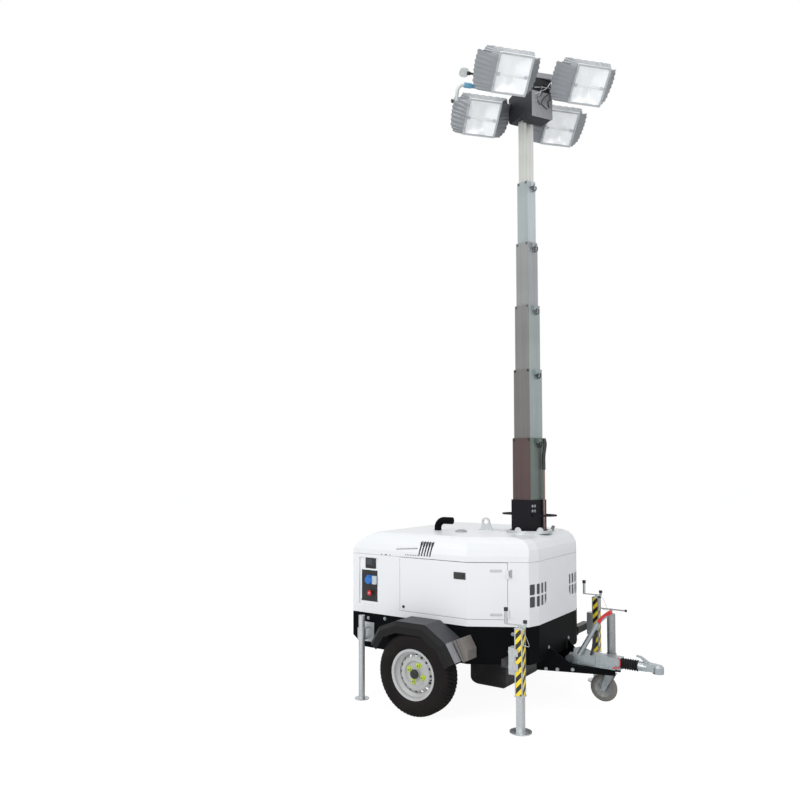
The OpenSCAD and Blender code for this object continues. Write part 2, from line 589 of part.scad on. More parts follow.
vent_pcd = 256; vent_r = 10; nut_pcd = 118; nut_turn = 20; disc_out = 22;
module rim() {
    bead = rim_d / 2 - bead_drop - seat_gap; hw = rim_hw;
    difference() {
        union() {
            rotate_extrude($fn = 96) polygon([[bead - 6, -hw], [rim_d / 2, -hw - 4], [rim_d / 2, -hw + rim_lip],
                [bead, -hw + rim_lip], [bead, -30], [bead - 24, -12], [bead - 24, 22], [bead, 40], [bead, hw - rim_lip],
                [rim_d / 2, hw - rim_lip], [rim_d / 2, hw + 4], [bead - 6, hw], [bead - 6, 42], [bead - 29, 24],
                [bead - 29, -14], [bead - 6, -32]]);
            rotate_extrude($fn = 96) polygon([[bead - 29, 8], [bead - 29, 14], [bead - 52, disc_out + 12],
                [92, disc_out + 16], [80, disc_out], [hub_r, disc_out], [hub_r, disc_out - 6], [82, disc_out - 6],
                [94, disc_out + 10], [bead - 54, disc_out + 6]]);
            translate([0, 0, drum_face]) rod(hub_r + 2, disc_out + 26 - drum_face);
            translate([0, 0, drum_face]) rod(drum_r - 2, 48);
        }
        for (i = [0:wheel_vents - 1]) rotate(i * 360 / wheel_vents) translate([vent_pcd / 2, 0, 0])
            rod(vent_r, 60);
        translate([0, 0, drum_face - 1]) rod(stub_r + pin_gap, stub_l - drum_gap + 2);
    }
    for (i = [0:wheel_nuts - 1]) rotate(nut_turn + i * 360 / wheel_nuts) translate([nut_pcd / 2, 0, disc_out])
        cylinder(r = 11, h = 12, $fn = 6);
}
drum_face = drum_back_y + drum_gap - track_w / 2;
module rim_right() from_axle() color("silver") mirror_y(true) wheel_place() rim();
module rim_left() from_axle() color("silver") wheel_place() rim();

// Outrigger: beam, bracket, leg tube and crank
leg_top = 690; leg_low = 240; leg_inner = leg_w - 10; leg_travel = 220;
bracket_z = [beam_z - 14, beam_z + 84];
module outrigger() {
    box(beam_x - beam_w / 2, beam_x + beam_w / 2, 22, leg_y + leg_w / 2, beam_z - beam_w / 2, beam_z + beam_w / 2);
    box(beam_x + beam_w / 2, leg_x - leg_w / 2, leg_y - 30, leg_y + 30, beam_z - 66, beam_z + 114);
    difference() {
        box(leg_x - leg_w / 2, leg_x + leg_w / 2, leg_y - leg_w / 2, leg_y + leg_w / 2, leg_low, leg_top);
        box(leg_x - leg_inner / 2 - slide_gap, leg_x + leg_inner / 2 + slide_gap,
            leg_y - leg_inner / 2 - slide_gap, leg_y + leg_inner / 2 + slide_gap, leg_low - 1, leg_top - 8);
    }
    for (z = bracket_z) along_y(leg_y + 30, leg_y + 36) translate([leg_x - leg_w / 2 - 20, z]) {
        circle(24);
        translate([0, -24]) square([20 + leg_w / 2, 48]);
    }
    translate([leg_x, leg_y, leg_top - 1]) rod(9, 24);
    box(leg_x - 112, leg_x + 46, leg_y - 6, leg_y + 6, leg_top + 15, leg_top + 22);
    translate([leg_x - 104, leg_y, leg_top + 20]) rod(11, 95);
    translate([leg_x + 38, leg_y, leg_top + 20]) rod(10, 36);
}
module outrigger_right() from_axle() color("silver") mirror_y(true) outrigger();
module outrigger_left() from_axle() color("silver") outrigger();

module leg_foot() {
    box(leg_x - leg_inner / 2, leg_x + leg_inner / 2, leg_y - leg_inner / 2, leg_y + leg_inner / 2,
        8, leg_top - leg_travel - 20);
    translate([leg_x, leg_y, 0]) rod(foot_d / 2, 8);
}
module leg_foot_right() from_axle() color("silver") mirror_y(true) leg_foot();
module leg_foot_left() from_axle() color("silver") leg_foot();

// Rear leg: plain tube with a round foot
prop_top = 633;
module prop() translate([prop_x, prop_y, 0]) {
    rod(55, 6);
    rod(prop_d / 2, prop_top);
}
module prop_right() from_axle() color("silver") mirror_y(true) prop();
module prop_left() from_axle() color("silver") prop();

// Jockey stem with its fork, and the wheel that trails behind it
trail = 60; fork_hw = 34; jockey_axle_r = 8;
jockey_axle_z = jockey_rise + jockey_d / 2;
module jockey_stem() from_axle() color("silver") translate([jockey_x, jockey_y, 0]) {
    translate([0, 0, jockey_rise + jockey_d + 12])
        rod(jockey_tube_r - 4 - slide_gap, jockey_tube_z1 - jockey_rise - jockey_d - 67);
    translate([0, 0, jockey_rise + jockey_d + 6]) rod(26, 8);
    for (s = [-1, 1]) along_y(s * fork_hw - 3, s * fork_hw + 3) polygon([[-trail - 18, jockey_axle_z - 16],
        [-trail + 18, jockey_axle_z - 16], [28, jockey_rise + jockey_d + 10], [-34, jockey_rise + jockey_d + 10]]);
    box(-34, 28, -fork_hw - 3, fork_hw + 3, jockey_rise + jockey_d + 6, jockey_rise + jockey_d + 12);
    translate([-trail, 0, jockey_axle_z]) rod_y(jockey_axle_r, 2 * fork_hw + 10);
}
module jockey_wheel() from_axle() color("black")
    translate([jockey_x - trail, jockey_y, jockey_axle_z]) rotate([90, 0, 0]) rotate_extrude() difference() {
        union() {
            translate([0, -26]) square([20, 52]);
            translate([0, -6]) square([80, 12]);
            translate([64, -22]) square([14, 44]);
            translate([jockey_d / 2 - 22, 0]) circle(22);
        }
        translate([-1, -40]) square([1 + jockey_axle_r + pin_gap, 80]);
    }

// Mast sections about the mast's axis, each guided by pads in the one outside it
module mast_place() from_axle() translate([mast_x, 0, 0]) rotate(mast_turn) children();
module square_tube(w, t, z0, z1) slab(z0, z1) difference() {
    square(w, center = true);
    square(w - 2 * t, center = true);
}
guide_h = 25;
module section(i, z0) {
    w = section_w(i);
    top = section_top(i);
    square_tube(w, mast_t, z0, top);
    if (i < 6) square_tube(w - 1, (w - section_w(i + 1)) / 2 - 0.5 - slide_gap, top - guide_h, top);
    if (i > 0) square_tube(section_w(i - 1) - 2 * (mast_t + slide_gap),
        (section_w(i - 1) - w) / 2 + 1 - slide_gap, z0, z0 + guide_h);
    if (i > 0 && i < 6) translate([w / 2, 0, top]) pulley_bracket();
}
// Cable pulley between two cheeks on the face of a moving section
module pulley_bracket() {
    box(-1, 3, -30, 30, -46, -2);
    for (y = [-14, 10]) box(0, 26, y, y + 4, -42, -6);
    translate([16, 0, -24]) rod_y(14, 26);
}
turret_z = roof_z + 12; handle_z = 1405;
module mast_base() mast_place() color("black") {
    section(0, sill_z + 60);
    slab(turret_z + 0.3, turret_z + 9) difference() {
        circle(turret_r);
        square(mast_w - 1, center = true);
    }
    for (s = [-1, 1]) translate([0, 0, handle_z]) handle(s);
}
// Flat six-sided handle that stands out of the fixed section
handle_x = 146; handle_hw = 80; handle_t = 20;
module handle(s) translate([s * (mast_w / 2 - 1), 0, 0]) slab(-6, 6) difference() {
    handle_outline(s, 0);
    handle_outline(s, handle_t);
}
module handle_outline(s, t) polygon([[0, t - handle_hw], [s * (handle_x - 52 - t / 3), t - handle_hw],
    [s * (handle_x - t), -36 + t / 3], [s * (handle_x - t), 36 - t / 3],
    [s * (handle_x - 52 - t / 3), handle_hw - t], [0, handle_hw - t]]);
module mast_1() mast_place() color("silver") section(1, section_top(1) - section_l);
module mast_2() mast_place() color("silver") section(2, section_top(2) - section_l);
module mast_3() mast_place() color("silver") section(3, section_top(3) - section_l);
module mast_4() mast_place() color("silver") section(4, section_top(4) - section_l);
module mast_5() mast_place() color("silver") section(5, section_top(5) - section_l);
module mast_6() mast_place() color("silver") section(6, section_top(6) - section_l);

// Lamp head: a black box on the last section, with bars that carry the floodlights
head_z = section_top(6);
box_back = 110; box_front = 215; box_hw = 85; box_h = 244; box_low_h = 210; box_drop = 62; bar_w = 40;
upper_back = 198; upper_z = head_z + box_h + seat_gap + bar_w / 2; upper_gap = 307;
lower_back = -328; lower_z = head_z + 182; lower_gap = 337; bar_end = 65; arm_y = 45; row_turn = -10;
ear_l = 60; ear_y = 40; ear_t = 6; ear_h = 44; case_back = 62; trunnion_r = 8;
flare_w = 440; lamp_back_w = 290; lamp_back_h = 170;
module head_place() mast_place() rotate(head_turn) children();
module row_place() head_place() rotate(row_turn) children();
module head_box() head_place() color("black") along_y(-box_hw, box_hw) polygon([
    [-box_back + 20, head_z], [78, head_z], [92, head_z - box_drop], [box_front, head_z - box_drop],
    [box_front, head_z + box_h], [40, head_z + box_h], [-box_back, head_z + box_low_h], [-box_back, head_z + 20]]);
module lamp_frame() color("gray") {
    row_place() {
        lamp_bar(upper_back, upper_z, upper_gap);
        lamp_bar(lower_back, lower_z, lower_gap);
    }
    head_place() {
        for (y = [-arm_y, arm_y]) box((lower_back - y * sin(row_turn)) / cos(row_turn), -box_back, y - 15, y + 15,
            lower_z - bar_w / 2, lower_z + bar_w / 2);
        box(box_front, box_front + 6, -box_hw - 8, box_hw + 8, head_z - box_drop, head_z + 135);
    }
}
module lamp_bar(x, z, gap) {
    box(x - bar_w / 2, x + bar_w / 2, -gap - bar_end, gap + bar_end, z - bar_w / 2, z + bar_w / 2);
    ears(x, z, gap);
}
// Two ears on the bar for each floodlight, bored for its trunnions
module ears(x, z, gap) for (s = [-1, 1], t = [-1, 1]) translate([x, s * gap + t * ear_y, z]) difference() {
    along_y(-ear_t / 2, ear_t / 2) union() {
        translate([bar_w / 2 - 1, -ear_h / 2]) square([ear_l - bar_w / 2 + 1, ear_h]);
        translate([ear_l, 0]) circle(ear_h / 2);
    }
    translate([ear_l, 0, 0]) rod_y(trunnion_r + pin_gap, 20);
}
// Floodlight about its trunnions: a lug, and a case that flares to its sides and narrows to the glass
glass_t = 5; bezel = 10; lug_hw = ear_y - ear_t / 2 - 3;
module lamp(x, y, z) row_place() color("gray") translate([x + ear_l, y, z]) rotate([0, lamp_tilt, 0]) {
    difference() {
        union() {
            lamp_case();
            translate([case_front, -lamp_w / 2, -lamp_h / 2]) cube([8, lamp_w, lamp_h]);
        }
        translate([case_front - flare_d, -lamp_w / 2 + bezel, -lamp_h / 2 + bezel])
            cube([flare_d + 10, lamp_w - 2 * bezel, lamp_h - 2 * bezel]);
        translate([case_back + 10, -lamp_back_w / 2 + 25, -lamp_back_h / 2 + 12])
            cube([lamp_d, lamp_back_w - 50, lamp_back_h - 24]);
    }
    translate([case_front, -lamp_w / 2 + bezel, -lamp_h / 2 + bezel])
        cube([glass_t, lamp_w - 2 * bezel, lamp_h - 2 * bezel]);
    along_y(-lug_hw, lug_hw) union() {
        circle(24);
        translate([0, -24]) square([case_back + 1, 48]);
    }
    rod_y(trunnion_r, 2 * ear_y + 20);
}
case_front = case_back + lamp_d;
module lamp_case() {
    rings = [[case_front, lamp_w, lamp_h], [case_front - flare_d, flare_w, lamp_h + 6],
        [case_back, lamp_back_w, lamp_back_h]];
    points = [for (r = rings) for (q = [[-1, -1], [1, -1], [1, 1], [-1, 1]])
        [r[0], q[0] * r[1] / 2, q[1] * r[2] / 2]];
    sides = [for (k = [0, 1]) for (i = [0:3])
        [k * 4 + i, k * 4 + (i + 1) % 4, (k + 1) * 4 + (i + 1) % 4, (k + 1) * 4 + i]];
    polyhedron(points, concat(sides, [[3, 2, 1, 0], [8, 9, 10, 11]]));
}
module lamp_upper_right() lamp(upper_back, -upper_gap, upper_z);
module lamp_upper_left() lamp(upper_back, upper_gap, upper_z);
module lamp_lower_right() lamp(lower_back, -lower_gap, lower_z);
module lamp_lower_left() lamp(lower_back, lower_gap, lower_z);

tub();
drawbar();
overrun_housing();
bellows();
coupling_head();
handbrake();
axle();
fenders();
wheel_chocks();
fuel_tank();
engine();
side_panels();
rear_panel();
front_panel();
hood();
control_panel();
socket();
stop_button();
exhaust();
lifting_frame();
mast_collar();
stand_sleeves();
prop_clamps();
jockey_tube();
door_right();
door_left();
latch_right();
latch_left();
tyre_right();
tyre_left();
rim_right();
rim_left();
outrigger_right();
outrigger_left();
leg_foot_right();
leg_foot_left();
prop_right();
prop_left();
jockey_stem();
jockey_wheel();
mast_base();
mast_1();
mast_2();
mast_3();
mast_4();
mast_5();
mast_6();
head_box();
lamp_frame();
lamp_upper_right();
lamp_upper_left();
lamp_lower_right();
lamp_lower_left();
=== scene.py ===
"""Mobile light tower: finishes, small parts, stage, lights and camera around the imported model.

Metres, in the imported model's frame: +X to the tow coupling, +Y to the left side, +Z up.
"""
import json

import bpy
import numpy as np
from mathutils import Matrix, Vector


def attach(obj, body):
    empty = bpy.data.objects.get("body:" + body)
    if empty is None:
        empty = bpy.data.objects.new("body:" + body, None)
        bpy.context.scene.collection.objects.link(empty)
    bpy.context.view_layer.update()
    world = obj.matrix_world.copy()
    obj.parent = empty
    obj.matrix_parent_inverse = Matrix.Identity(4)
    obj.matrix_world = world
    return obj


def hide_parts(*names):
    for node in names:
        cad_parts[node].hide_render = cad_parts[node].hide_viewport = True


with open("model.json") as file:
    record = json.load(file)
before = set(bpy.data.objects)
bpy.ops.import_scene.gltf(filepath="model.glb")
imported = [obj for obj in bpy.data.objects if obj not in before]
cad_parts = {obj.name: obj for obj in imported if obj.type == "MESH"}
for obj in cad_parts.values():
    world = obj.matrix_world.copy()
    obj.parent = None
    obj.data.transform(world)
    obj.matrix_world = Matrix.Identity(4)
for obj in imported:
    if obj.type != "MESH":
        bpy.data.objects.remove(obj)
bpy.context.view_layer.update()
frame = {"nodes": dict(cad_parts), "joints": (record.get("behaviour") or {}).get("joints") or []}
NODES = frame["nodes"]
JOINTS = {joint["name"]: joint for joint in frame["joints"]}

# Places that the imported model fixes, in metres and degrees
axle_x = JOINTS["wheel_right_spin"]["pos_m"][0]
wheel_y = 0.815
wheel_z = 0.297
mast_x = JOINTS["mast_swivel"]["pos_m"][0]
mast_turn = -14.0
head_turn = -30.0
lamp_tilt = 40.0
lamp_reach = 0.161                      # from a floodlight's trunnion to the middle of its case
leg_x = axle_x + 0.760                  # the front legs
leg_y = 0.720
jockey_y = 0.112
brake_y = -0.071
SIDES = {"right": -1.0, "left": 1.0}


# Shapes
def moved(x=0.0, y=0.0, z=0.0):
    """A shift, as a 4 by 4 matrix."""
    m = np.eye(4)
    m[:3, 3] = (x, y, z)
    return m


def turned(axis, degrees):
    """A turn about one of the axes x, y or z, as a 4 by 4 matrix."""
    return np.array(Matrix.Rotation(np.radians(degrees), 4, axis.upper()))


def scaled(x, y, z):
    """A stretch along each axis, as a 4 by 4 matrix."""
    return np.diag([x, y, z, 1.0])


def placed(points, place):
    """Points of any grid, carried by a 4 by 4 matrix."""
    return points @ place[:3, :3].T + place[:3, 3]


def grid_quads(rows, cols, close_rows=False, close_cols=False):
    """Corner numbers of the quads of a grid of rows by cols points: each quad joins a point to the next one
    along the row and along the column, with the last joined to the first where the grid closes."""
    r, c = np.meshgrid(np.arange(rows if close_rows else rows - 1),
                       np.arange(cols if close_cols else cols - 1), indexing="ij")
    r2, c2 = (r + 1) % rows, (c + 1) % cols
    return np.stack([r * cols + c, r * cols + c2, r2 * cols + c2, r2 * cols + c], -1).reshape(-1, 4)


def linked(name, data):
    """A new object in the scene that shows the given mesh, light or camera."""
    obj = bpy.data.objects.new(name, data)
    bpy.context.scene.collection.objects.link(obj)
    return obj


class Shape:
    """Points and faces that grow into one mesh."""

    def __init__(self):
        self.points, self.faces, self.count = [], [], 0

    def add(self, points, faces, place=None):
        """More points and faces, carried by the place. One that mirrors turns each face's order round."""
        points = np.asarray(points, float).reshape(-1, 3)
        if place is not None:
            points = placed(points, place)
            if np.linalg.det(place[:3, :3]) < 0:
                faces = [f[::-1] for f in faces]
        self.points.append(points)
        self.faces += [np.asarray(f) + self.count for f in faces]
        self.count += len(points)
        return self

    def grid(self, points, close_rows=False, close_cols=False, caps=False, place=None):
        """A grid of points [row, column, xyz]; caps closes the first and last rows with one face each."""
        rows, cols = points.shape[:2]
        faces = list(grid_quads(rows, cols, close_rows, close_cols))
        if caps:
            faces += [np.arange(cols)[::-1], np.arange(cols) + (rows - 1) * cols]
        return self.add(points, faces, place)

    def copies(self, other, *places):
        """The same small shape at each place, or as it is where no place is given."""
        points = np.concatenate(other.points)
        for place in places or [None]:
            self.add(points, other.faces, place)
        return self

    def at(self, *places):
        """A new shape: this one at each place."""
        return Shape().copies(self, *places)

    def piece(self, name, body, finish, smooth=30.0, slot=None, replaces=()):
        """The finished object: its mesh, its material, and the body that it rides on. The slot, the record's
        slot that the finish stands for, is not used. Edges that bend by more than the smooth angle stay
        sharp."""
        mesh = bpy.data.meshes.new(name)
        mesh.from_pydata(np.concatenate(self.points).tolist(), [], [f.tolist() for f in self.faces])
        mesh.update()
        mesh.polygons.foreach_set("use_smooth", [True] * len(mesh.polygons))
        mesh.set_sharp_from_angle(angle=np.radians(smooth))
        mesh.materials.append(finish)
        obj = linked(name, mesh)
        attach(obj, body)
        if replaces:
            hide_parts(*replaces)


def lathe(profile, steps=32, start=0.0, sweep=360.0):
    """A profile of [radius, height] turned about Z: x = r cos t, y = r sin t, z = h."""
    profile = np.asarray(profile, float)
    t = np.radians(start + sweep * np.arange(steps) / steps)
    r, h = profile[:, 0][:, None], profile[:, 1][:, None]
    return np.stack([r * np.cos(t), r * np.sin(t), h + 0 * t], -1)


def turned_part(profile, place=None, steps=32):
    """A closed lathe shape whose profile starts and ends near the axis."""
    return Shape().grid(lathe(profile, steps), close_cols=True, caps=True, place=place)


def bar(outline, length, bevel=0.0, place=None):
    """A flat outline [x, y] carried along Z. The bevel draws its two ends in towards the outline's middle."""
    outline = np.asarray(outline, float)
    middle = outline.mean(0)
    size = np.abs(outline - middle).max(0)
    shrink = 1 - bevel / np.maximum(size, 1e-6)
    rings = [(1.0, bevel), (1.0, length - bevel)]
    if bevel:
        rings = [(shrink, 0.0), *rings, (shrink, length)]
    points = np.stack([np.column_stack([middle + (outline - middle) * s, np.full(len(outline), h)])
                       for s, h in rings])
    return Shape().grid(points, close_cols=True, caps=True, place=place)


def plate(width, height, thick, radius=0.003, bevel=0.0006):
    """A flat plate with round corners and bevelled edges."""
    return bar(rounded(width, height, radius, 4), thick, bevel)


def rounded(width, height, radius, steps=5):
    """Outline of a rectangle with round corners, centred: four quarter circles joined by straight lines."""
    t = np.radians(np.linspace(0, 90, steps))
    corners = []
    for k, (sx, sy) in enumerate(((1, 1), (-1, 1), (-1, -1), (1, -1))):
        a = t + np.radians(90 * k)
        corners.append(np.column_stack([sx * (width / 2 - radius) + radius * np.cos(a),
                                        sy * (height / 2 - radius) + radius * np.sin(a)]))
    return np.concatenate(corners)


def block(x0, x1, y0, y1, z0, z1, bevel=0.0015):
    """A box between two corners, its upright edges rounded and its ends bevelled."""
    outline = rounded(x1 - x0, y1 - y0, max(bevel, 0.0008), 3)
    return bar(outline, z1 - z0, bevel, moved((x0 + x1) / 2, (y0 + y1) / 2, z0))


def along(path, radius, sides=12, closed=False):
    """A round tube: at each point of the path, a circle square to the path's direction there."""
    path = np.asarray(path, float)
    ahead = np.roll(path, -1, 0) - np.roll(path, 1, 0)
    if not closed:
        ahead[0], ahead[-1] = path[1] - path[0], path[-1] - path[-2]
    ahead /= np.linalg.norm(ahead, axis=1, keepdims=True)
    spread = path.max(0) - path.min(0)
    up = np.eye(3)[int(np.argmin(spread))]
    side = np.cross(up, ahead)
    side /= np.linalg.norm(side, axis=1, keepdims=True)
    third = np.cross(ahead, side)
    t = np.linspace(0, 2 * np.pi, sides, endpoint=False)
    r = np.broadcast_to(np.asarray(radius, float), len(path))[:, None, None]
    points = path[:, None] + r * (side[:, None] * np.cos(t)[:, None] + third[:, None] * np.sin(t)[:, None])
    return Shape().grid(points, close_rows=closed, close_cols=True, caps=not closed)


def smooth_path(points, steps=8):
    """A smooth line through the points: between each two, a cubic whose slopes come from their neighbours."""
    p = np.asarray(points, float)
    q = np.vstack([2 * p[0] - p[1], p, 2 * p[-1] - p[-2]])
    t = np.linspace(0, 1, steps, endpoint=False)[None, :, None]
    a, b, c, d = (q[k:len(p) - 1 + k][:, None] for k in range(4))
    line = 0.5 * (2 * b + (c - a) * t + (2 * a - 5 * b + 4 * c - d) * t ** 2
                  + (3 * b - a - 3 * c + d) * t ** 3)
    return np.vstack([line.reshape(-1, 3), p[-1]])


def bolt_head(radius=0.007, height=0.005):
    """A hexagon head on a washer, standing on Z = 0."""
    washer = lathe([[0.0005, 0], [radius * 1.5, 0], [radius * 1.5, 0.0015], [radius, 0.0015]], 14)
    hexagon = lathe([[radius, 0]], 6)[0][:, :2]
    return Shape().grid(washer, close_cols=True).copies(bar(hexagon, height, 0.0008), moved(0, 0, 0.0014))


def knob(radius, length):
    """Turned grip: a barrel with rounded ends along Z."""
    t = np.linspace(0, np.pi / 2, 6)
    low = np.column_stack([radius - radius * 0.35 * (1 - np.sin(t)), radius * 0.35 * (1 - np.cos(t))])
    high = low[::-1] * [1, -1] + [0, length]
    waist = [radius * 0.86, length * 0.5]
    return turned_part(np.vstack([[0.0003, 0.0], low, waist, high, [0.0003, length]]), None, 20)


# Finishes
class Wire:
    """A value, colour or vector in a material's nodes. Sums and products of values add Math nodes."""

    def __init__(self, finish, socket):
        self.finish, self.socket = finish, socket

    def math(self, operation, *values):
        """A Math node that works on this finish's wires and on plain numbers."""
        return self.finish.node("ShaderNodeMath", {"operation": operation}, dict(enumerate(values)))

    def __add__(self, other):
        return self.math("ADD", self, other)

    def __sub__(self, other):
        return self.math("SUBTRACT", self, other)

    def __rsub__(self, other):
        return self.math("SUBTRACT", other, self)

    def __mul__(self, other):
        return self.math("MULTIPLY", self, other)

    def __truediv__(self, other):
        return self.math("DIVIDE", self, other)

    def __rtruediv__(self, other):
        return self.math("DIVIDE", other, self)

    def __mod__(self, other):
        return self.math("FLOORED_MODULO", self, other)

    def __gt__(self, other):
        return self.math("GREATER_THAN", self, other)

    def __lt__(self, other):
        return self.math("LESS_THAN", self, other)

    __radd__, __rmul__ = __add__, __mul__

    def apart(self):
        """How far this value is from 0."""
        return self.math("ABSOLUTE", self)

    def most(self, other):
        """The larger of two values."""
        return self.math("MAXIMUM", self, other)

    def rise(self, low, high):
        """0 below low, 1 above high, smooth between."""
        return self.finish.node("ShaderNodeMapRange", {"interpolation_type": "SMOOTHSTEP", "clamp": True},
                                {0: self, 1: low, 2: high, 3: 0.0, 4: 1.0})

    def blend(self, first, second):
        """A colour between two, by this value."""
        return self.finish.node("ShaderNodeMix", {"data_type": "RGBA"}, {0: self, 6: first, 7: second}, 2)

    def scale(self, amount):
        """This vector, stretched by three numbers."""
        return self.finish.node("ShaderNodeVectorMath", {"operation": "MULTIPLY"}, {0: self, 1: amount})


class Finish:
    """The nodes of one material, or of the world that is given as its owner."""

    def __init__(self, name, owner=None):
        self.owner = owner or bpy.data.materials.new(name)
        self.owner.use_nodes = True
        self.tree = self.owner.node_tree
        self.tree.nodes.clear()
        self.out = self.tree.nodes.new("ShaderNodeOutput" + ("World" if owner else "Material"))
        self.place = None if owner else self.node("ShaderNodeTexCoord", {}, {}, "Object")

    def node(self, kind, settings, inputs, output=0):
        """A node of the given type, its settings, and its sockets' values or wires. Gives one output."""
        made = self.tree.nodes.new(kind)
        for key, value in settings.items():
            setattr(made, key, value)
        for key, value in inputs.items():
            if isinstance(value, Wire):
                self.tree.links.new(value.socket, made.inputs[key])
            else:
                if isinstance(value, (tuple, list)) and len(value) == 3 and made.inputs[key].type == "RGBA":
                    value = (*value, 1.0)
                made.inputs[key].default_value = value
        return Wire(self, made.outputs[output])

    def axes(self, where=None):
        """The three parts of a vector, of the place in metres unless another is given."""
        parts = self.tree.nodes.new("ShaderNodeSeparateXYZ")
        self.tree.links.new((where or self.place).socket, parts.inputs[0])
        return [Wire(self, parts.outputs[k]) for k in range(3)]

    def noise(self, scale, detail=3.0, rough=0.5, where=None):
        """Cloudy noise, 0 to 1."""
        return self.node("ShaderNodeTexNoise", {}, {"Vector": where or self.place, "Scale": scale,
                                                    "Detail": detail, "Roughness": rough})

    def cells(self, scale, feature="F1", output="Distance"):
        """Cells round scattered points: the distance to the nearest one, or its colour."""
        return self.node("ShaderNodeTexVoronoi", {"feature": feature},
                         {"Vector": self.place, "Scale": scale}, output)

    def raised(self, height, depth, strength=1.0):
        """Relief in the surface, as deep as the depth in metres."""
        return self.node("ShaderNodeBump", {}, {"Height": height, "Distance": depth, "Strength": strength})

    def shown(self, shader):
        """The shader goes to the output, and the material is ready."""
        self.tree.links.new(shader.socket, self.out.inputs["Surface"])
        return self.owner

    def done(self, colour, roughness, metallic=0.0, bump=None, **more):
        """The finished material. Further sockets go by their names in small letters."""
        inputs = {"Base Color": colour, "Roughness": roughness, "Metallic": metallic}
        if bump is not None:
            inputs["Normal"] = bump
        for key, value in more.items():
            inputs[key.replace("_", " ").title().replace("Ior", "IOR")] = value
        return self.shown(self.node("ShaderNodeBsdfPrincipled", {}, inputs))


def tinted(colour, amount):
    """A colour made darker or paler by one factor."""
    return tuple(amount * c for c in colour)


def paint(name, colour, roughness, dust=0.25, peel=0.00012, dust_colour=(0.55, 0.5, 0.43), low=0.35,
          high=0.75, shine=0.5):
    """Sprayed paint: orange peel in the surface, faint clouds in the gloss, dust that thickens downwards."""
    f = Finish(name)
    height = f.axes()[2]
    clouds = f.noise(3.2, 4.0, 0.6)
    settled = (1.0 - height.rise(low, high)) * clouds.rise(0.35, 0.75) * dust
    speckle = f.noise(140.0, 2.0, 0.6).rise(0.60, 0.78) * 0.05 * dust
    shade = (settled + speckle).blend(colour, dust_colour)
    rough = roughness + clouds * 0.08 + settled * 0.5
    peel_bump = f.raised(f.noise(420.0, 2.0, 0.5), peel)
    return f.done(shade, rough, 0.0, peel_bump, specular_ior_level=shine)


def galvanised(name, colour=(0.60, 0.62, 0.63), spangle=65.0, streak=0.0, stain=0.15, metal=0.85,
               roughness=0.36, relief=0.5):
    """Zinc coating: crystals of slightly different grey, streaks along the draw, dull stains."""
    f = Finish(name)
    crystals = f.cells(spangle, output="Color")
    crystal = f.axes(crystals)[0]
    drawn = f.noise(9.0, 5.0, 0.65, f.place.scale((9.0, 9.0, 0.35)))
    stains = f.noise(2.6, 5.0, 0.62).rise(0.52, 0.72)
    tone = crystal * 0.22 + drawn * streak + stains * stain
    shade = tone.blend(colour, tinted(colour, 0.52))
    rough = roughness + crystal * 0.16 + stains * 0.18
    return f.done(shade, rough, metal, f.raised(crystal + drawn * 0.6, 0.0003, relief))


def mast_section(name, half, shaded, lit):
    """Drawn zinc-coated tube: long streaks up the section and dull bands, a painted shaded tone on the face
    that looks to the machine's right, found by its distance from the mast's axis, a painted lit tone on the
    front face, and a painted shade line up a fold of the front face."""
    f = Finish(name)
    x, y, _ = f.axes()
    turn = np.radians(mast_turn)
    across = (y * float(np.cos(turn))) - ((x - mast_x) * float(np.sin(turn)))
    # Painted shade: the face to the machine's right takes the shaded tones
    shaded_face = (across * -1.0).rise(half - 0.003, half - 0.001)
    # Painted shade: a darker line up the fold of the front face
    fold = ((across - 0.022).apart() < 0.0022) * 0.3
    streaks = f.noise(26.0, 4.0, 0.7, f.place.scale((4.0, 4.0, 0.05)))
    bands = f.noise(3.0, 3.0, 0.5, f.place.scale((0.3, 0.3, 1.0))).rise(0.35, 0.7)
    # Streaks and bands are the zinc's own marks; the fold's share is painted shade
    worn = streaks.rise(0.25, 0.75) * 0.6 + bands * 0.3 + fold
    # Painted light and shade: the lit tone on the front face, the shaded tone on the side face
    front = worn.blend(tinted(lit, 1.12), tinted(lit, 0.80))
    side = worn.blend(tinted(shaded, 1.12), tinted(shaded, 0.78))
    return f.done(shaded_face.blend(front, side), 0.34 + streaks * 0.22, 0.75, f.raised(streaks, 0.0003, 0.3))


def rubber(name, colour=(0.009, 0.0075, 0.007), grain=260.0, worn=(0.030, 0.026, 0.022)):
    """Rubber: fine grain, paler where it is scuffed and dusty."""
    f = Finish(name)
    scuff = f.noise(7.0, 5.0, 0.65).rise(0.48, 0.78)
    return f.done((scuff * 0.55).blend(colour, worn), 0.62 + scuff * 0.2, 0.0,
                  f.raised(f.noise(grain, 3.0, 0.6), 0.0005, 0.6), specular_ior_level=0.12)


def plastic(name, colour, roughness=0.42, grain=330.0, depth=0.00035, faded=0.25):
    """Moulded plastic: leather-like grain and a chalky fade in patches."""
    f = Finish(name)
    fade = f.noise(4.0, 4.0, 0.6).rise(0.45, 0.8) * faded
    grey = tuple(0.5 * c + 0.13 for c in colour)
    grain_cells = f.cells(grain)
    return f.done(fade.blend(colour, grey), roughness + fade * 0.6 + grain_cells * 0.1, 0.0,
                  f.raised(grain_cells, depth, 0.6))


def cast_metal(name, colour, roughness=0.5, metal=0.55, grain=180.0):
    """Cast and painted metal: sand grain in the surface and soot in the hollows of a slow noise."""
    f = Finish(name)
    soot = f.noise(11.0, 5.0, 0.6).rise(0.5, 0.85)
    return f.done(soot.blend(colour, tinted(colour, 0.72)), roughness + soot * 0.15, metal,
                  f.raised(f.noise(grain, 3.0, 0.6), 0.0005, 0.6))


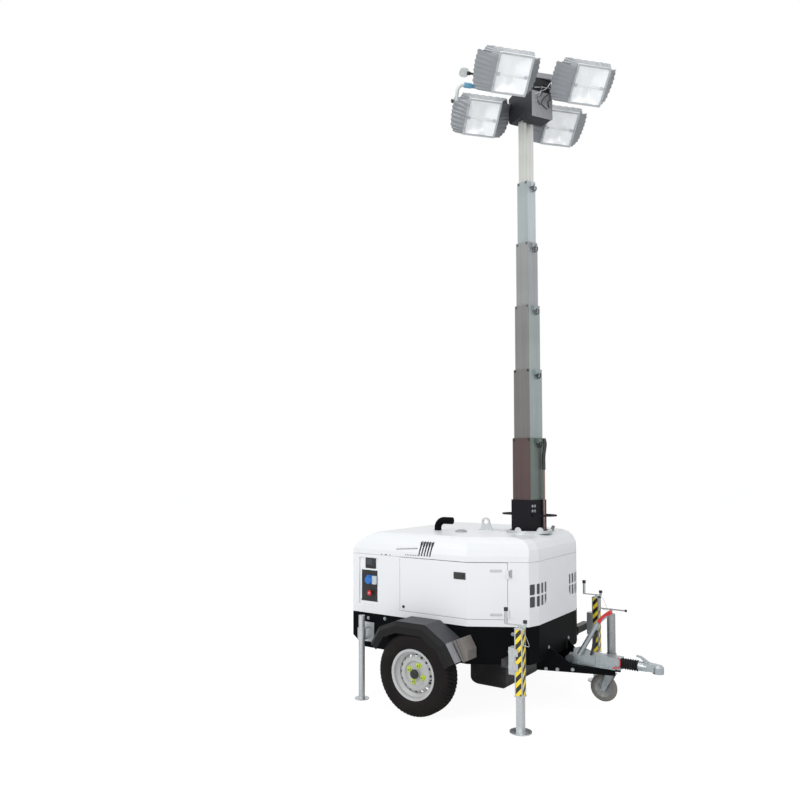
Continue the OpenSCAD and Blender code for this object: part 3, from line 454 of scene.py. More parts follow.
def striped_tape(name):
    """Reflective tape: slanting black and yellow bands, scratched, with a fine hexagon net in the surface."""
    f = Finish(name)
    x, y, z = f.axes()
    band = ((z - (x + y) * 1.1) / 0.072) % 1.0
    black = (band - 0.5).apart().rise(0.235, 0.255)
    scratch = f.noise(38.0, 6.0, 0.7, f.place.scale((1.0, 1.0, 3.0))).rise(0.62, 0.74)
    colour = black.blend((0.93, 0.70, 0.03), (0.018, 0.018, 0.018))
    return f.done((scratch * 0.35).blend(colour, (0.45, 0.42, 0.35)), 0.32 + scratch * 0.3, 0.0,
                  f.raised(f.cells(420.0), 0.0002, 0.4))


def guard_sheet(name):
    """Mudguard sheet: black, with grey on the top plates inboard of the fold, and a painted highlight that
    makes the low front plate paler."""
    f = Finish(name)
    x, y, _ = f.axes()
    top = 1.0 - y.apart().rise(0.8760, 0.8780)
    # Painted highlight: the low front plate is painted paler where it faces the light
    front = x.rise(axle_x + 0.268, axle_x + 0.272)
    cloud = f.noise(16.0, 5.0, 0.65, f.place.scale((0.4, 2.0, 0.4)))
    # Grey on the top plates, and the paler painted highlight on the low front plate
    dust = front.blend((0.075, 0.076, 0.083), (0.42, 0.42, 0.44))
    grey = (cloud * 0.5).blend(dust, (0.035, 0.035, 0.038))
    return f.done(top.blend((0.007, 0.007, 0.0075), grey), 0.42 + cloud * 0.15, 0.0,
                  f.raised(f.noise(300.0, 2.0), 0.0002, 0.4), specular_ior_level=0.2)


def two_part(name, first, second, pick):
    """Two colours in one part: zinc in the first, and paint in the second where a test of x, y and z says so,
    with a slow cloud in the gloss."""
    f = Finish(name)
    cloud = f.noise(9.0, 4.0, 0.6)
    second_part = pick(*f.axes())
    shade = second_part.blend(first, second)
    return f.done((cloud.rise(0.4, 0.8) * 0.2).blend(shade, (0.30, 0.30, 0.30)), 0.36 + cloud * 0.14,
                  (1.0 - second_part) * 0.8, f.raised(f.cells(80.0), 0.0002, 0.2))


def control_face(name, box):
    """The control bay's back: black plastic inside the box [x0, x1, z0, z1], and white paint outside it."""
    f = Finish(name)
    x, _, z = f.axes()
    x0, x1, z0, z1 = box
    inside = (x > x0) * (x < x1) * (z > z0) * (z < z1)
    grime = f.noise(30.0, 4.0, 0.6)
    colour = inside.blend((0.83, 0.84, 0.85), (0.012, 0.012, 0.013))
    return f.done((grime.rise(0.55, 0.8) * 0.06).blend(colour, (0.4, 0.38, 0.34)), 0.34 + grime * 0.12, 0.0,
                  f.raised(f.noise(380.0, 2.0), 0.0002, 0.5))


def mirror(name):
    """Hammered reflector metal: milky, with small dimples, and a faint white painted glow that makes it
    bright.
    """
    f = Finish(name)
    dimple = f.cells(75.0, feature="SMOOTH_F1")
    cloud = f.noise(9.0, 3.0)
    # The white emission is a painted glow, since the reflector is no lamp
    return f.done((cloud.rise(0.4, 0.8) * 0.3).blend((0.84, 0.85, 0.855), (0.72, 0.74, 0.755)),
                  0.30 + dimple * 0.12, 0.35, f.raised(dimple, 0.002, 0.3),
                  emission_color=(1.0, 1.0, 1.0), emission_strength=0.15)


def window(name):
    """Toughened glass: nearly clear, with dust that shows as a thin haze."""
    f = Finish(name)
    dust = f.noise(14.0, 5.0, 0.65).rise(0.42, 0.85)
    return f.done((0.90, 0.93, 0.94), 0.04 + dust * 0.2, 0.0, None, alpha=0.05 + dust * 0.06, ior=1.5,
                  specular_ior_level=0.6)


def glowing(name, colour, light, strength):
    """A lit surface with a faint mottling."""
    f = Finish(name)
    mottle = f.noise(220.0, 2.0)
    return f.done((mottle * 0.2).blend(colour, (0.5, 0.5, 0.5)), 0.3 + mottle * 0.1, 0.0, None,
                  emission_color=(mottle * 0.3).blend(light, (0.4, 0.4, 0.4)), emission_strength=strength)


WHITE = paint("white_paint", (0.80, 0.81, 0.82), 0.30, 0.10, low=0.64, high=1.0)
BLACK = paint("black_powder_coat", (0.0042, 0.0046, 0.0052), 0.44, 0.03, 0.0003, (0.08, 0.07, 0.06), 0.2, 0.7,
              0.03)
MAST_BLACK = paint("mast_base_black", (0.009, 0.008, 0.011), 0.40, 0.04, 0.0003, (0.10, 0.07, 0.06), 1.2, 1.6,
                   0.12)
HEAD_BLACK = paint("head_box_black", (0.014, 0.015, 0.019), 0.40, 0.0, 0.0003, shine=0.35)
ZINC = galvanised("hot_dip_zinc")
BRIGHT_ZINC = galvanised("bright_zinc", (0.44, 0.48, 0.50), 45.0, 0.1, 0.3, 0.90, 0.32, 0.08)
SILVER = paint("wheel_silver", (0.50, 0.50, 0.50), 0.34, 0.5, 0.0002, (0.20, 0.17, 0.14), 0.1, 0.6)
TYRE = rubber("tyre_rubber")
RUBBER = rubber("soft_rubber", (0.018, 0.018, 0.019), 200.0, (0.07, 0.07, 0.07))
GUARD = guard_sheet("mudguard_sheet")
BEAM = two_part("beam_black_leg_zinc", (0.52, 0.54, 0.54), (0.008, 0.008, 0.009),
                lambda x, y, z: (x < axle_x + 0.6880) * (z < 0.60))
TUBE_GREY = galvanised("jockey_tube_zinc", (0.40, 0.41, 0.41), 70.0, 0.5, 0.3, 0.8, 0.36, 0.2)
BLACK_PLASTIC = plastic("black_plastic", (0.014, 0.014, 0.015), 0.38)
GREY_PLASTIC = plastic("chock_plastic", (0.170, 0.155, 0.145), 0.48)
WHEEL_GREY = plastic("jockey_tyre_rubber", (0.20, 0.185, 0.17), 0.6, 180.0)
HINGE_GREY = plastic("hinge_cover_plastic", (0.36, 0.37, 0.38), 0.45)
LOOP_GREY = plastic("loop_grey", (0.10, 0.11, 0.12), 0.45)
STRAP_GREY = plastic("hinge_strap_plastic", (0.60, 0.61, 0.62), 0.45)
BLUE = plastic("blue_plastic", (0.02, 0.16, 0.52), 0.28, 500.0, 0.0001, 0.05)
PALE_PLASTIC = plastic("socket_lid_plastic", (0.55, 0.58, 0.62), 0.35, 500.0, 0.0001, 0.05)
RED = plastic("red_plastic", (0.58, 0.016, 0.02), 0.26, 500.0, 0.0001, 0.05)
POINTER = plastic("nut_pointer_plastic", (0.55, 0.72, 0.03), 0.35, 500.0, 0.0001, 0.1)
LAMP = cast_metal("lamp_case_metal", (0.27, 0.285, 0.30), 0.42, 0.4)
LAMP_LIP = cast_metal("lamp_frame_metal", (0.50, 0.52, 0.53), 0.40, 0.5)
HEAD_CAP = galvanised("pale_zinc", (0.62, 0.66, 0.64), 60.0, 0.2, 0.2, 0.5, 0.4, 0.15)
BLUE_GREY = plastic("connector_blue", (0.12, 0.32, 0.46), 0.35, 500.0, 0.0001, 0.15)
# Painted shade behind the grille slots
GRILLE_SHADE = plastic("grille_dark", (0.045, 0.052, 0.065), 0.5, 300.0, 0.0002, 0.1)
HEAD_GREY = cast_metal("head_plate_grey", (0.36, 0.36, 0.38), 0.45, 0.4)
IRON = cast_metal("engine_iron", (0.16, 0.16, 0.17), 0.6, 0.7)
TAPE = striped_tape("striped_tape")
# Reflector metal with a painted glow
MIRROR_PAINTED_GLOW = mirror("reflector_metal")
GLASS = window("lamp_glass")
BULB = glowing("lamp_bulb", (0.70, 0.72, 0.72), (1.0, 0.98, 0.92), 0.15)
CONDUIT = plastic("conduit_plastic", (0.20, 0.13, 0.12), 0.45, 300.0)
SCREEN = plastic("screen_plastic", (0.05, 0.06, 0.07), 0.12, 600.0, 0.00005, 0.02)
# Painted shade: near black for the louvre's backs, the punched holes and the latch grips
SHADE_GAP = plastic("dark_gap", (0.010, 0.010, 0.010), 0.6, 300.0)

NODE_FINISH = {
    WHITE: ["side_panels", "rear_panel", "front_panel", "hood", "door_right", "door_left"],
    BLACK: ["tub", "drawbar", "axle", "exhaust", "stand_sleeves"],
    HEAD_BLACK: ["head_box"],
    MAST_BLACK: ["mast_base"],
    GUARD: ["fenders"],
    GREY_PLASTIC: ["wheel_chocks"],
    BLACK_PLASTIC: ["fuel_tank", "latch_right", "latch_left"],
    RUBBER: ["bellows"],
    WHEEL_GREY: ["jockey_wheel"],
    ZINC: ["lifting_frame", "mast_collar", "prop_clamps", "leg_foot_right", "leg_foot_left", "prop_right",
           "prop_left"],
    BEAM: ["outrigger_right", "outrigger_left"],
    BRIGHT_ZINC: ["overrun_housing", "coupling_head", "handbrake", "jockey_stem"],
    TUBE_GREY: ["jockey_tube"],
    SILVER: ["rim_right", "rim_left"],
    LAMP: ["lamp_upper_right", "lamp_upper_left", "lamp_lower_right", "lamp_lower_left"],
    HEAD_GREY: ["lamp_frame"],
    BLUE: ["socket"], RED: ["stop_button"], IRON: ["engine"], TYRE: ["tyre_right", "tyre_left"],
}
PANEL = control_face("control_bay_face", [axle_x - 0.633, axle_x - 0.480, 0.735, 0.969])
# Colour of each moving section, lowest first: the painted shaded tone of the face to the machine's right,
# then the painted lit tone of the front face
MAST_SHADED_AND_LIT_TONES = [((0.115, 0.080, 0.078), (0.180, 0.215, 0.198)), ((0.175, 0.172, 0.166), (0.33, 0.38, 0.38)),
              ((0.215, 0.217, 0.212), (0.35, 0.39, 0.39)), ((0.27, 0.28, 0.275), (0.36, 0.37, 0.385)),
              ((0.33, 0.37, 0.375), (0.50, 0.55, 0.565)), ((0.50, 0.51, 0.475), (0.66, 0.67, 0.65))]
MAST_FINISH = {mast_section("mast_zinc_%d" % k, 0.095 - 0.009 * k, *tones): ["mast_%d" % k]
               for k, tones in enumerate(MAST_SHADED_AND_LIT_TONES, 1)}
for finish, names in {**NODE_FINISH, **MAST_FINISH, PANEL: ["control_panel"]}.items():
    for name in names:
        NODES[name].data.materials.clear()
        NODES[name].data.materials.append(finish)


# Wheels
def tyre_surface(steps=600):
    """Radial tyre: a closed section of [radius, width] turned about the axle. The tread is lowered by four
    grooves round the tyre, and by slanting cuts that repeat 64 times, narrower towards the middle rib."""
    side = np.array([[0.1693, 0.0652], [0.176, 0.0652], [0.182, 0.0660], [0.187, 0.0725], [0.196, 0.0765],
                     [0.206, 0.0785], [0.207, 0.0797], [0.213, 0.0797], [0.214, 0.0800], [0.231, 0.0812],
                     [0.247, 0.0822], [0.258, 0.0815], [0.270, 0.0785], [0.280, 0.0735], [0.288, 0.0675]])
    across = np.array([0.0625, 0.0590, 0.0540, 0.0500, 0.0440, 0.0400, 0.0385, 0.0320, 0.0305, 0.0265, 0.0215,
                       0.0165, 0.0125, 0.0110, 0.0055, 0.0040])
    half = np.vstack([side, np.column_stack([0.297 - 0.0045 * (across / 0.0625) ** 4, across])])
    section = np.vstack([half, half[::-1] * [1, -1], [[0.270, -0.05], [0.280, 0.0], [0.270, 0.05]]])
    t = np.linspace(0, 2 * np.pi, steps, endpoint=False)[:, None]
    r, w = np.broadcast_to(section[:, 0], (steps, len(section))).copy(), section[:, 1][None, :]
    distance = np.abs(w)
    groove = ((distance > 0.0045) & (distance < 0.0108)) | ((distance > 0.0310) & (distance < 0.0383))
    slant = (t * 64 / (2 * np.pi) + 14 * distance * np.sign(w)) % 1.0
    cut = (slant < 0.26) & (distance > 0.0400) | (slant < 0.14) & (distance > 0.0112) & (distance < 0.0300)
    tread = (r > 0.2905) & (np.arange(len(section)) < 2 * len(half))[None, :]
    shoulder = (slant < 0.3) & (r > 0.279) & (r <= 0.2905)
    r -= np.where(tread & groove, 0.0075, np.where(tread & cut, 0.0055, np.where(shoulder, 0.0025, 0.0)))
    return np.stack([r * np.sin(t), w + 0 * t, r * np.cos(t)], -1)


def arrow_tab():
    """Flat outline of a wheel-nut pointer: a round washer that runs out into a point."""
    t = np.radians(np.linspace(35, 325, 18))
    return np.vstack([np.column_stack([0.021 * np.cos(t), 0.021 * np.sin(t)]), [[0.042, 0.0]]])


NUT_RING, RIM_FACE = 0.062, 0.0215      # the nuts' distance from the axle, and the rim's face along it
for side, s in SIDES.items():
    wheel, upright = "wheel_" + side, moved(axle_x, s * wheel_y, wheel_z) @ scaled(1, s, 1)
    facing = upright @ turned("x", -90)         # local Z runs out along the axle
    Shape().grid(tyre_surface(), close_rows=True, close_cols=True, place=upright).piece(
        "tyre_dressed_" + side, wheel, TYRE, 40, replaces=["tyre_" + side])
    cap = turned_part([[0.0005, 0.044], [0.0335, 0.044], [0.0335, 0.050], [0.031, 0.0555], [0.022, 0.0580],
                       [0.010, 0.0590], [0.0005, 0.0592]], facing, 40)
    cap.copies(turned_part([[0.0004, 0.058], [0.0085, 0.058], [0.0085, 0.0605], [0.0004, 0.0608]], facing, 6))
    cap.piece("wheel_cap_" + side, wheel, BLACK_PLASTIC, 35)
    tabs, centres = Shape(), Shape()
    for k in range(4):
        at_nut = facing @ turned("z", 20 + 90 * k) @ moved(NUT_RING, 0, RIM_FACE)
        pointing = at_nut @ turned("z", 25)
        tabs.copies(bar(arrow_tab(), 0.0035, 0.0008), pointing)
        tabs.copies(turned_part([[0.0003, 0.0132], [0.0135, 0.0132], [0.0135, 0.0142], [0.012, 0.0158],
                                 [0.0003, 0.0165]], None, 18), pointing)
        centres.copies(turned_part([[0.0003, 0.0165], [0.0070, 0.0165], [0.0070, 0.0175], [0.0003, 0.0177]],
                                   None, 6), at_nut)
    tabs.piece("nut_pointers_" + side, wheel, POINTER, 35)
    centres.piece("nut_centres_" + side, wheel, IRON, 35)
    valve = along(smooth_path([[0.146, 0, 0.034], [0.145, 0, 0.046], [0.141, 0, 0.060]]), 0.004, 10)
    valve.at(facing @ turned("z", 8)).piece("valve_" + side, wheel, RUBBER, 40)


# Floodlights
def lamp_place(name):
    """The trunnion axis of a floodlight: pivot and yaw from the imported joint, tilt as at rest."""
    joint = JOINTS["lamp_%s_tilt" % name]
    yaw = np.degrees(np.arctan2(-joint["axis"][0], joint["axis"][1]))
    return moved(*joint["pos_m"]) @ turned("z", yaw) @ turned("y", lamp_tilt)


def half_outline(corners, count):
    """Points along a line of corners, as many between each two, then mirrored to close a whole outline."""
    corners = np.asarray(corners, float)
    at = np.linspace(0, len(corners) - 1, count + 1)[:-1]
    half = np.column_stack([np.interp(at, np.arange(len(corners)), corners[:, k]) for k in (0, 1)])
    return np.vstack([half, half[::-1] * [-1, 1]])


def lamp_shell(shift, count=132):
    """Floodlight case: an outline carried backwards that goes from the square front frame to a flare with
    pinched upper corners, and in again to a small back. Ribs run front to back where a sawtooth of the
    outline's own length pulls the points in, most at the flare."""
    square = half_outline([[0, 1], [0.6, 1], [0.98, 1], [1, 0.90], [1, 0.72], [1, 0.25], [1, -0.2], [1, -0.7],
                           [0.98, -1], [0.6, -1], [0, -1]], count)
    flare = half_outline([[0, 0.150], [0.140, 0.152], [0.184, 0.150], [0.203, 0.112], [0.243, 0.120],
                          [0.250, 0.045], [0.246, -0.020], [0.234, -0.100], [0.200, -0.148], [0.120, -0.150],
                          [0, -0.150]], count)
    # Depth, share of the flare, half width and half height of the square, share of the ribs
    sections = [
        (0.098, 0, 0.129, 0.1295, 0), (0.0975, 0, 0.1345, 0.135, 0), (0.090, 0, 0.137, 0.1375, 0),
        (0.088, 0, 0.1345, 0.135, 0), (0.080, 0, 0.1345, 0.135, 0.2), (0.064, 0.18, 0.137, 0.137, 0.5),
        (0.048, 0.38, 0.137, 0.137, 0.8), (0.026, 0.68, 0.137, 0.137, 1), (0.004, 1, 0.137, 0.137, 1),
        (-0.004, 1, 0.137, 0.137, 1), (-0.030, 0.80, 0.144, 0.083, 1), (-0.060, 0.40, 0.144, 0.083, 0.8),
        (-0.082, 0.10, 0.144, 0.083, 0.5), (-0.0895, 0, 0.144, 0.083, 0), (-0.090, 0, 0.136, 0.077, 0)]
    x, share, wide, tall, rib = np.array(sections).T[:, :, None]
    tooth = ((np.arange(2 * count) / 6.0) % 1.0 < 0.34)[None, :]
    push = 1.0 - 0.020 * rib * tooth
    y = (square[:, 0] * wide * (1 - share) + flare[:, 0] * share) * push + shift * share
    z = (square[:, 1] * tall * (1 - share) + flare[:, 1] * share) * push
    return np.stack([x + 0 * y, y, z], -1)[:, ::-1]


def reflector_dish(n=37):
    """Reflector: a rectangle bellied backwards, x = depth of a flattened bowl, with an upright crease to one
    side of the middle and folds beyond the crease."""
    u, v = np.meshgrid(np.linspace(-1, 1, n), np.linspace(-1, 1, n), indexing="ij")
    depth = (1 - np.abs(u) ** 2.6) * (1 - np.abs(v) ** 3.0)
    crease = 0.016 * np.maximum(0, 1 - np.abs(u - 0.22) / 0.45) * (1 - v ** 4)
    folds = 0.0022 * np.abs(np.sin((u - 0.22) * 11)) * depth * (u > 0.22)
    return np.stack([0.090 - 0.026 * depth - crease - folds, u * 0.127, v * 0.1275], -1)


BULB_AT = (0.080, 0, -0.010)            # middle of the bulb's axis, from that of the case
# How far each case's flare stands to one side
FLARE_SHIFT = {"upper_right": -0.025, "upper_left": -0.022, "lower_right": 0.016, "lower_left": 0.0}
for name, shift in FLARE_SHIFT.items():
    pivot, body = lamp_place(name), "floodlight_" + name
    place, crosswise = pivot @ moved(lamp_reach, 0, 0), turned("x", 90)
    rings = lamp_shell(shift)
    shell = Shape().grid(rings[::-1], close_cols=True, place=place)
    shell.faces.append(np.arange(len(rings[0]))[::-1])
    shell.piece("lamp_case_" + name, body, LAMP, 24, replaces=["lamp_" + name])
    rim = rings[0] + [0.0004, 0, 0]
    outer, inner = rim * [1, 1.045, 1.045], rim * [1, 0.950, 0.950]
    lip = np.stack([rings[3] + [0.0012, 0, 0], rings[2] * [1, 1.004, 1.004], outer, rim, inner,
                    inner - [0.012, 0, 0]])
    Shape().grid(lip[::-1], close_cols=True, place=place).piece("lamp_lip_" + name, body, LAMP_LIP)
    Shape().grid(reflector_dish()[:, ::-1], place=place).piece("reflector_" + name, body, MIRROR_PAINTED_GLOW, 60)
    pane = bar(rounded(0.254, 0.255, 0.012), 0.004, 0.0005,
               place @ moved(0.0915, 0, 0) @ turned("y", 90) @ turned("z", 90))
    pane.piece("glass_" + name, body, GLASS)
    across = place @ moved(*BULB_AT) @ crosswise
    socket = np.array([[0.0004, -0.118], [0.012, -0.118], [0.012, -0.098], [0.009, -0.094], [0.0004, -0.094]])
    holders = turned_part(socket, across, 16)
    holders.copies(turned_part(socket[::-1] * [1, -1], across, 16))
    holders.piece("bulb_holders_" + name, body, PALE_PLASTIC, 35, "lamp_case")
    t = np.linspace(0, np.pi, 14)
    bulb = turned_part(np.column_stack([0.0005 + 0.0100 * np.sin(t) ** 0.8, -0.040 * np.cos(t)]),
                       place @ moved(*BULB_AT) @ moved(0, 0.05, 0) @ crosswise, 20)
    rod = turned_part([[0.0003, -0.096], [0.004, -0.096], [0.004, 0.096], [0.0003, 0.096]], None, 10)
    bulb.copies(rod, across)
    bulb.piece("bulb_" + name, body, BULB, 50)
    clip = bar(rounded(0.016, 0.010, 0.003, 3), 0.010, 0.001)
    clips = clip.at(*[place @ moved(0.092, y, z) @ turned("y", 90)
                      for y in (-0.133, 0.133) for z in (-0.085, 0.0, 0.085)])
    clips.piece("lamp_clips_" + name, body, BRIGHT_ZINC)
    lug = block(0.0, 0.075, -0.034, 0.034, -0.024, 0.024, 0.003).at(pivot)
    for radius, half, start, steps in ((0.024, 0.034, 0.0004, 28), (0.0079, 0.050, 0.0003, 16)):
        lug.copies(turned_part([[start, -half], [radius, -half], [radius, half], [start, half]], None, steps),
                   pivot @ crosswise)
    lug.copies(bolt_head(0.010, 0.006), *[pivot @ scaled(1, y, 1) @ moved(0, -0.0436, 0) @ crosswise
                                          for y in (-1, 1)])
    lug.piece("lamp_lug_" + name, body, LAMP)

# Places on the body, in millimetres from the axle, and on the mast
SIDE_Y = 670.0                          # the body's flat sides
CREASE_X = 320.0                        # where they end
SIDE_TAPER = 30.69                      # turn of the tapered sides ahead of the crease, in degrees


def wall(x, y, z, heading):
    """A place on an upright face, in millimetres: local Z along the face's outward heading, local Y up."""
    h = np.radians(heading)
    place = np.eye(4)
    place[:3] = np.transpose([(-np.sin(h), np.cos(h), 0), (0, 0, 1), (np.cos(h), np.sin(h), 0),
                              (axle_x + x / 1000, y / 1000, z / 1000)])
    return place


def on_side(s, x, z, out=0.0):
    """A place on the body's right (s = -1) or left side, flat up to the crease and tapered ahead of it."""
    if x <= CREASE_X:
        return wall(x, s * (SIDE_Y + out), z, 90 * s)
    a = np.radians(SIDE_TAPER)
    inwards = (x - CREASE_X) * np.tan(a)
    return wall(x + out * np.sin(a), s * (SIDE_Y - inwards + out * np.cos(a)), z, s * (90 - SIDE_TAPER))


def on_mast(face, across, z, half):
    """A place on a face of the mast, named by its heading before the mast's turn and set out by half its
    width."""
    h = np.radians(face + mast_turn)
    x = 1000 * (mast_x - axle_x) + half * np.cos(h) - across * np.sin(h)
    return wall(x, half * np.sin(h) + across * np.cos(h), z, face + mast_turn)


def half_disc(radius):
    """Outline of a half circle closed by its straight edge."""
    t = np.radians(np.linspace(90, 270, 20))
    return np.column_stack([radius * np.cos(t), radius * np.sin(t)])


# Bolts
tub_bolts = Shape()
for s in SIDES.values():
    tub_bolts.copies(bolt_head(0.009, 0.006), *[on_side(s, x, z, 0.2) for x, z in (
        (-558, 600), (114, 618), (215, 556), (300, 396), (-400, 612), (600, 590), (660, 500))])
    # The drawbar's plates run in by 0.3286 of their length, 18.2 degrees
    tub_bolts.copies(bolt_head(0.0085, 0.006), *[wall(x, s * (200 - 0.3286 * (x - 640)), z, s * (90 - 18.2))
                                                 for x, z in ((705, 292), (783, 293), (886, 300))])
tub_bolts.copies(bolt_head(0.009, 0.006), *[wall(730.2, y, 453, 0) for y in (-185, 185)])
tub_bolts.piece("tub_bolts", "trailer", BRIGHT_ZINC)
base_bolts = bolt_head(0.0075, 0.005).at(*[on_mast(face, y, z, 95.1) for face in (0, 180)
                                           for y in (-76, -48) for z in (1437, 1474)])
base_bolts.piece("mast_base_bolts", "mast_turret", BRIGHT_ZINC)

# Doors: hinge covers, straps and lock
hinge_zs = (725, 1034)
for side, s in SIDES.items():
    door = "door_" + side
    cover = bar(half_disc(0.030), 0.005, 0.0012).at(on_side(s, 598, 1013, 0.3) @ scaled(-s, 1, 1))
    cover.piece("hinge_covers_" + side, "trailer", HINGE_GREY)
    straps = plate(0.085, 0.018, 0.0035).at(*[on_side(s, 500, z, 0.2) for z in hinge_zs])
    straps.copies(bolt_head(0.0055, 0.003), *[on_side(s, x, z, 3.6)
                                              for z in hinge_zs for x in (472, 500, 528)])
    straps.piece("hinge_straps_" + side, door, STRAP_GREY)
    lock = turned_part([[0.0003, 0], [0.011, 0], [0.011, 0.004], [0.009, 0.006], [0.0003, 0.006]],
                       on_side(s, -225, 722, 0.1), 24)
    lock.copies(plate(0.003, 0.010, 0.0012, 0.001, 0.0002), on_side(s, -225, 722, 6.0))
    lock.piece("door_lock_" + side, door, BLACK_PLASTIC)
    # Painted shade: a near black plate in the latch's grip opening
    latch = plate(0.074, 0.022, 0.004, 0.004).at(on_side(s, 259, 993, 8.1))
    latch.piece("latch_grip_" + side, door, SHADE_GAP)

# Control bay: display, pale lid beside the socket, stop button's plate and a painted highlight dot on the
# button, edge and small lamp
bay = wall(0, -656, 0, -90)
display = plate(0.100, 0.080, 0.006, 0.006, 0.001).at(bay @ moved(-0.544, 1.0235, 0))
display.copies(plate(0.014, 0.010, 0.003), *[bay @ moved(-0.544 + dx, 0.994, 0.006)
                                             for dx in (-0.03, -0.01, 0.01, 0.03)])
display.piece("display_housing", "trailer", BLACK_PLASTIC)
window_plate = plate(0.062, 0.042, 0.0016, 0.003, 0.0003).at(bay @ moved(-0.556, 1.034, 0.0062))
window_plate.piece("display_glass", "trailer", SCREEN)
lid = plate(0.040, 0.064, 0.022, 0.006, 0.002).at(bay @ moved(-0.5005, 0.896, 0.0003))
lid.piece("socket_lid", "trailer", PALE_PLASTIC, slot="grey_plastic")
cover = turned_part([[0.0004, 0.020], [0.0225, 0.020], [0.0236, 0.0225], [0.0236, 0.036], [0.0004, 0.036]],
                    wall(-548, -656, 896, -90), 32)
cover.piece("socket_cover", "trailer", BLUE)
stop_plate = plate(0.062, 0.062, 0.004, 0.008, 0.001).at(bay @ moved(-0.544, 0.795, 0.0003))
stop_plate.piece("stop_plate", "trailer", BLACK_PLASTIC)
# Painted highlight: a pale dot on the red stop button
stop_highlight = turned_part([[0.0003, 0.0], [0.0055, 0.0], [0.0050, 0.0012], [0.0003, 0.0014]],
                  wall(-544, -681.1, 795, -90), 20)
stop_highlight.piece("stop_button_dot", "trailer", PALE_PLASTIC, slot="red_plastic")
edge = plate(0.158, 0.012, 0.004).at(bay @ moved(-0.5565, 0.735, 0))
edge.copies(turned_part([[0.0003, 0], [0.006, 0], [0.006, 0.004], [0.0003, 0.005]], None, 16),
            bay @ moved(-0.556, 0.957, 0))
edge.piece("panel_edge", "trailer", BLACK_PLASTIC)

# Hood: painted shade in dark backs of the louvre and dark dots for the punched rows, filler cap
# Painted shade: dark plates behind the louvre's slits
louvre = plate(0.010, 0.108, 0.001, 0.003, 0.0002).at(*[wall(-76 + 24 * k, -662, 1164, -90) @ turned("z", -12)
                                                       for k in range(5)])
louvre.piece("louvre_backs", "trailer", SHADE_GAP, slot="white_paint")
# Painted shade: dark discs stand for the punched holes
hole = turned_part([[0.0003, 0], [0.0042, 0], [0.0042, 0.0006], [0.0003, 0.0007]], None, 10)
holes = ([(-285 + 15 * k, 1150 + 1.3 * k) for k in range(13)] + [(-205 + 15 * k, 1112) for k in range(8)]
         + [(x, 1101) for x in (-430, -395, -385, -350)])
punched = hole.at(*[wall(x, -SIDE_Y, z, -90) for x, z in holes])
punched.piece("hood_punched_rows", "trailer", SHADE_GAP, slot="white_paint")
cap = turned_part([[0.0004, 0.0], [0.046, 0.0], [0.046, 0.008], [0.042, 0.012], [0.030, 0.013],
                   [0.028, 0.018], [0.0004, 0.019]], moved(axle_x + 0.040, -0.262, 1.266), 32)
cap.piece("filler_cap", "trailer", HINGE_GREY)

# Front legs: striped tape, crank grips, wire pin, collars
for side, s in SIDES.items():
    body, leg = "outrigger_" + side, moved(leg_x, s * leg_y, 0)
    strip = block(0.028, 0.0288, -0.020, 0.020, 0.246, 0.684, 0.0002)
    tape = strip.at(*[leg @ turned("z", turn) for turn in (0, 180, 90, 270)])
    tape.piece("leg_tape_" + side, body, TAPE)
    grips = knob(0.0155, 0.026).at(leg @ moved(-0.104, 0, 0.794))
    grips.copies(knob(0.0150, 0.022), leg @ moved(0.038, 0, 0.726))
    grips.piece("crank_grips_" + side, body, BLACK_PLASTIC)
    bends = [[0.775, 0.752, 0.683], [0.800, 0.754, 0.684], [0.822, 0.754, 0.640], [0.842, 0.753, 0.590],
             [0.826, 0.753, 0.584], [0.800, 0.752, 0.588]]
    wire = along(smooth_path(bends * np.array([1, s, 1]), 10), 0.0018, 8)
    wire.at(moved(axle_x)).piece("leg_wire_pin_" + side, body, BRIGHT_ZINC, 40)
    collars = block(-0.030, 0.030, -0.030, 0.030, 0.684, 0.694, 0.002).at(leg)
    collars.copies(bolt_head(0.007, 0.005), *[wall(712, s * 756, z, 90 * s) for z in (432, 530)])
    collars.copies(block(-0.031, 0.031, -0.031, 0.031, 0.236, 0.246, 0.002), leg)
    collars.piece("leg_collars_" + side, body, ZINC)

# Drawbar: handbrake grip, strut body, jockey grips, housing bolts, web, brake link, jockey wheel's discs
grip = along(smooth_path([[1.066, brake_y, 0.654], [1.084, brake_y, 0.675], [1.106, brake_y, 0.698],
                          [1.130, brake_y, 0.718], [1.160, brake_y, 0.740]]), 0.0148, 16)
grip.at(moved(axle_x)).piece("handbrake_grip", "trailer", RED, 40)
strut = along([[1.0550, brake_y, 0.598], [1.0548, brake_y, 0.597], [1.0250, brake_y, 0.480],
               [1.0248, brake_y, 0.479], [1.0075, brake_y, 0.412]], [0.008, 0.0105, 0.0105, 0.008, 0.008], 16)
strut.at(moved(axle_x)).piece("strut_body", "trailer", BLACK_PLASTIC, 40)
jockey_grips = knob(0.0140, 0.016).at(moved(axle_x + 1.007, jockey_y, 0.794))
jockey_grips.copies(knob(0.010, 0.014), moved(axle_x + 1.198, jockey_y, 0.721) @ turned("y", 90))
jockey_grips.piece("jockey_grips", "trailer", BLACK_PLASTIC, 40)
house_bolts = Shape()
for s in SIDES.values():
    house_bolts.copies(bolt_head(0.008, 0.006), *[wall(x, s * 45.1, 350, 90 * s) for x in (1085, 1165)])
house_bolts.copies(bolt_head(0.010, 0.006), *[moved(axle_x + x, y, 0.3351) for x in (0.90, 1.12)
                                              for y in (-0.054, 0.054)])
house_bolts.piece("housing_bolts", "trailer", BRIGHT_ZINC)
web_half = [[0.796, 0.140], [1.050, 0.0560], [1.125, 0.0535]]
web = bar([[x, -y] for x, y in web_half] + web_half[::-1], 0.005)
web.at(moved(axle_x, 0, 0.319)).piece("drawbar_web", "trailer", BLACK)
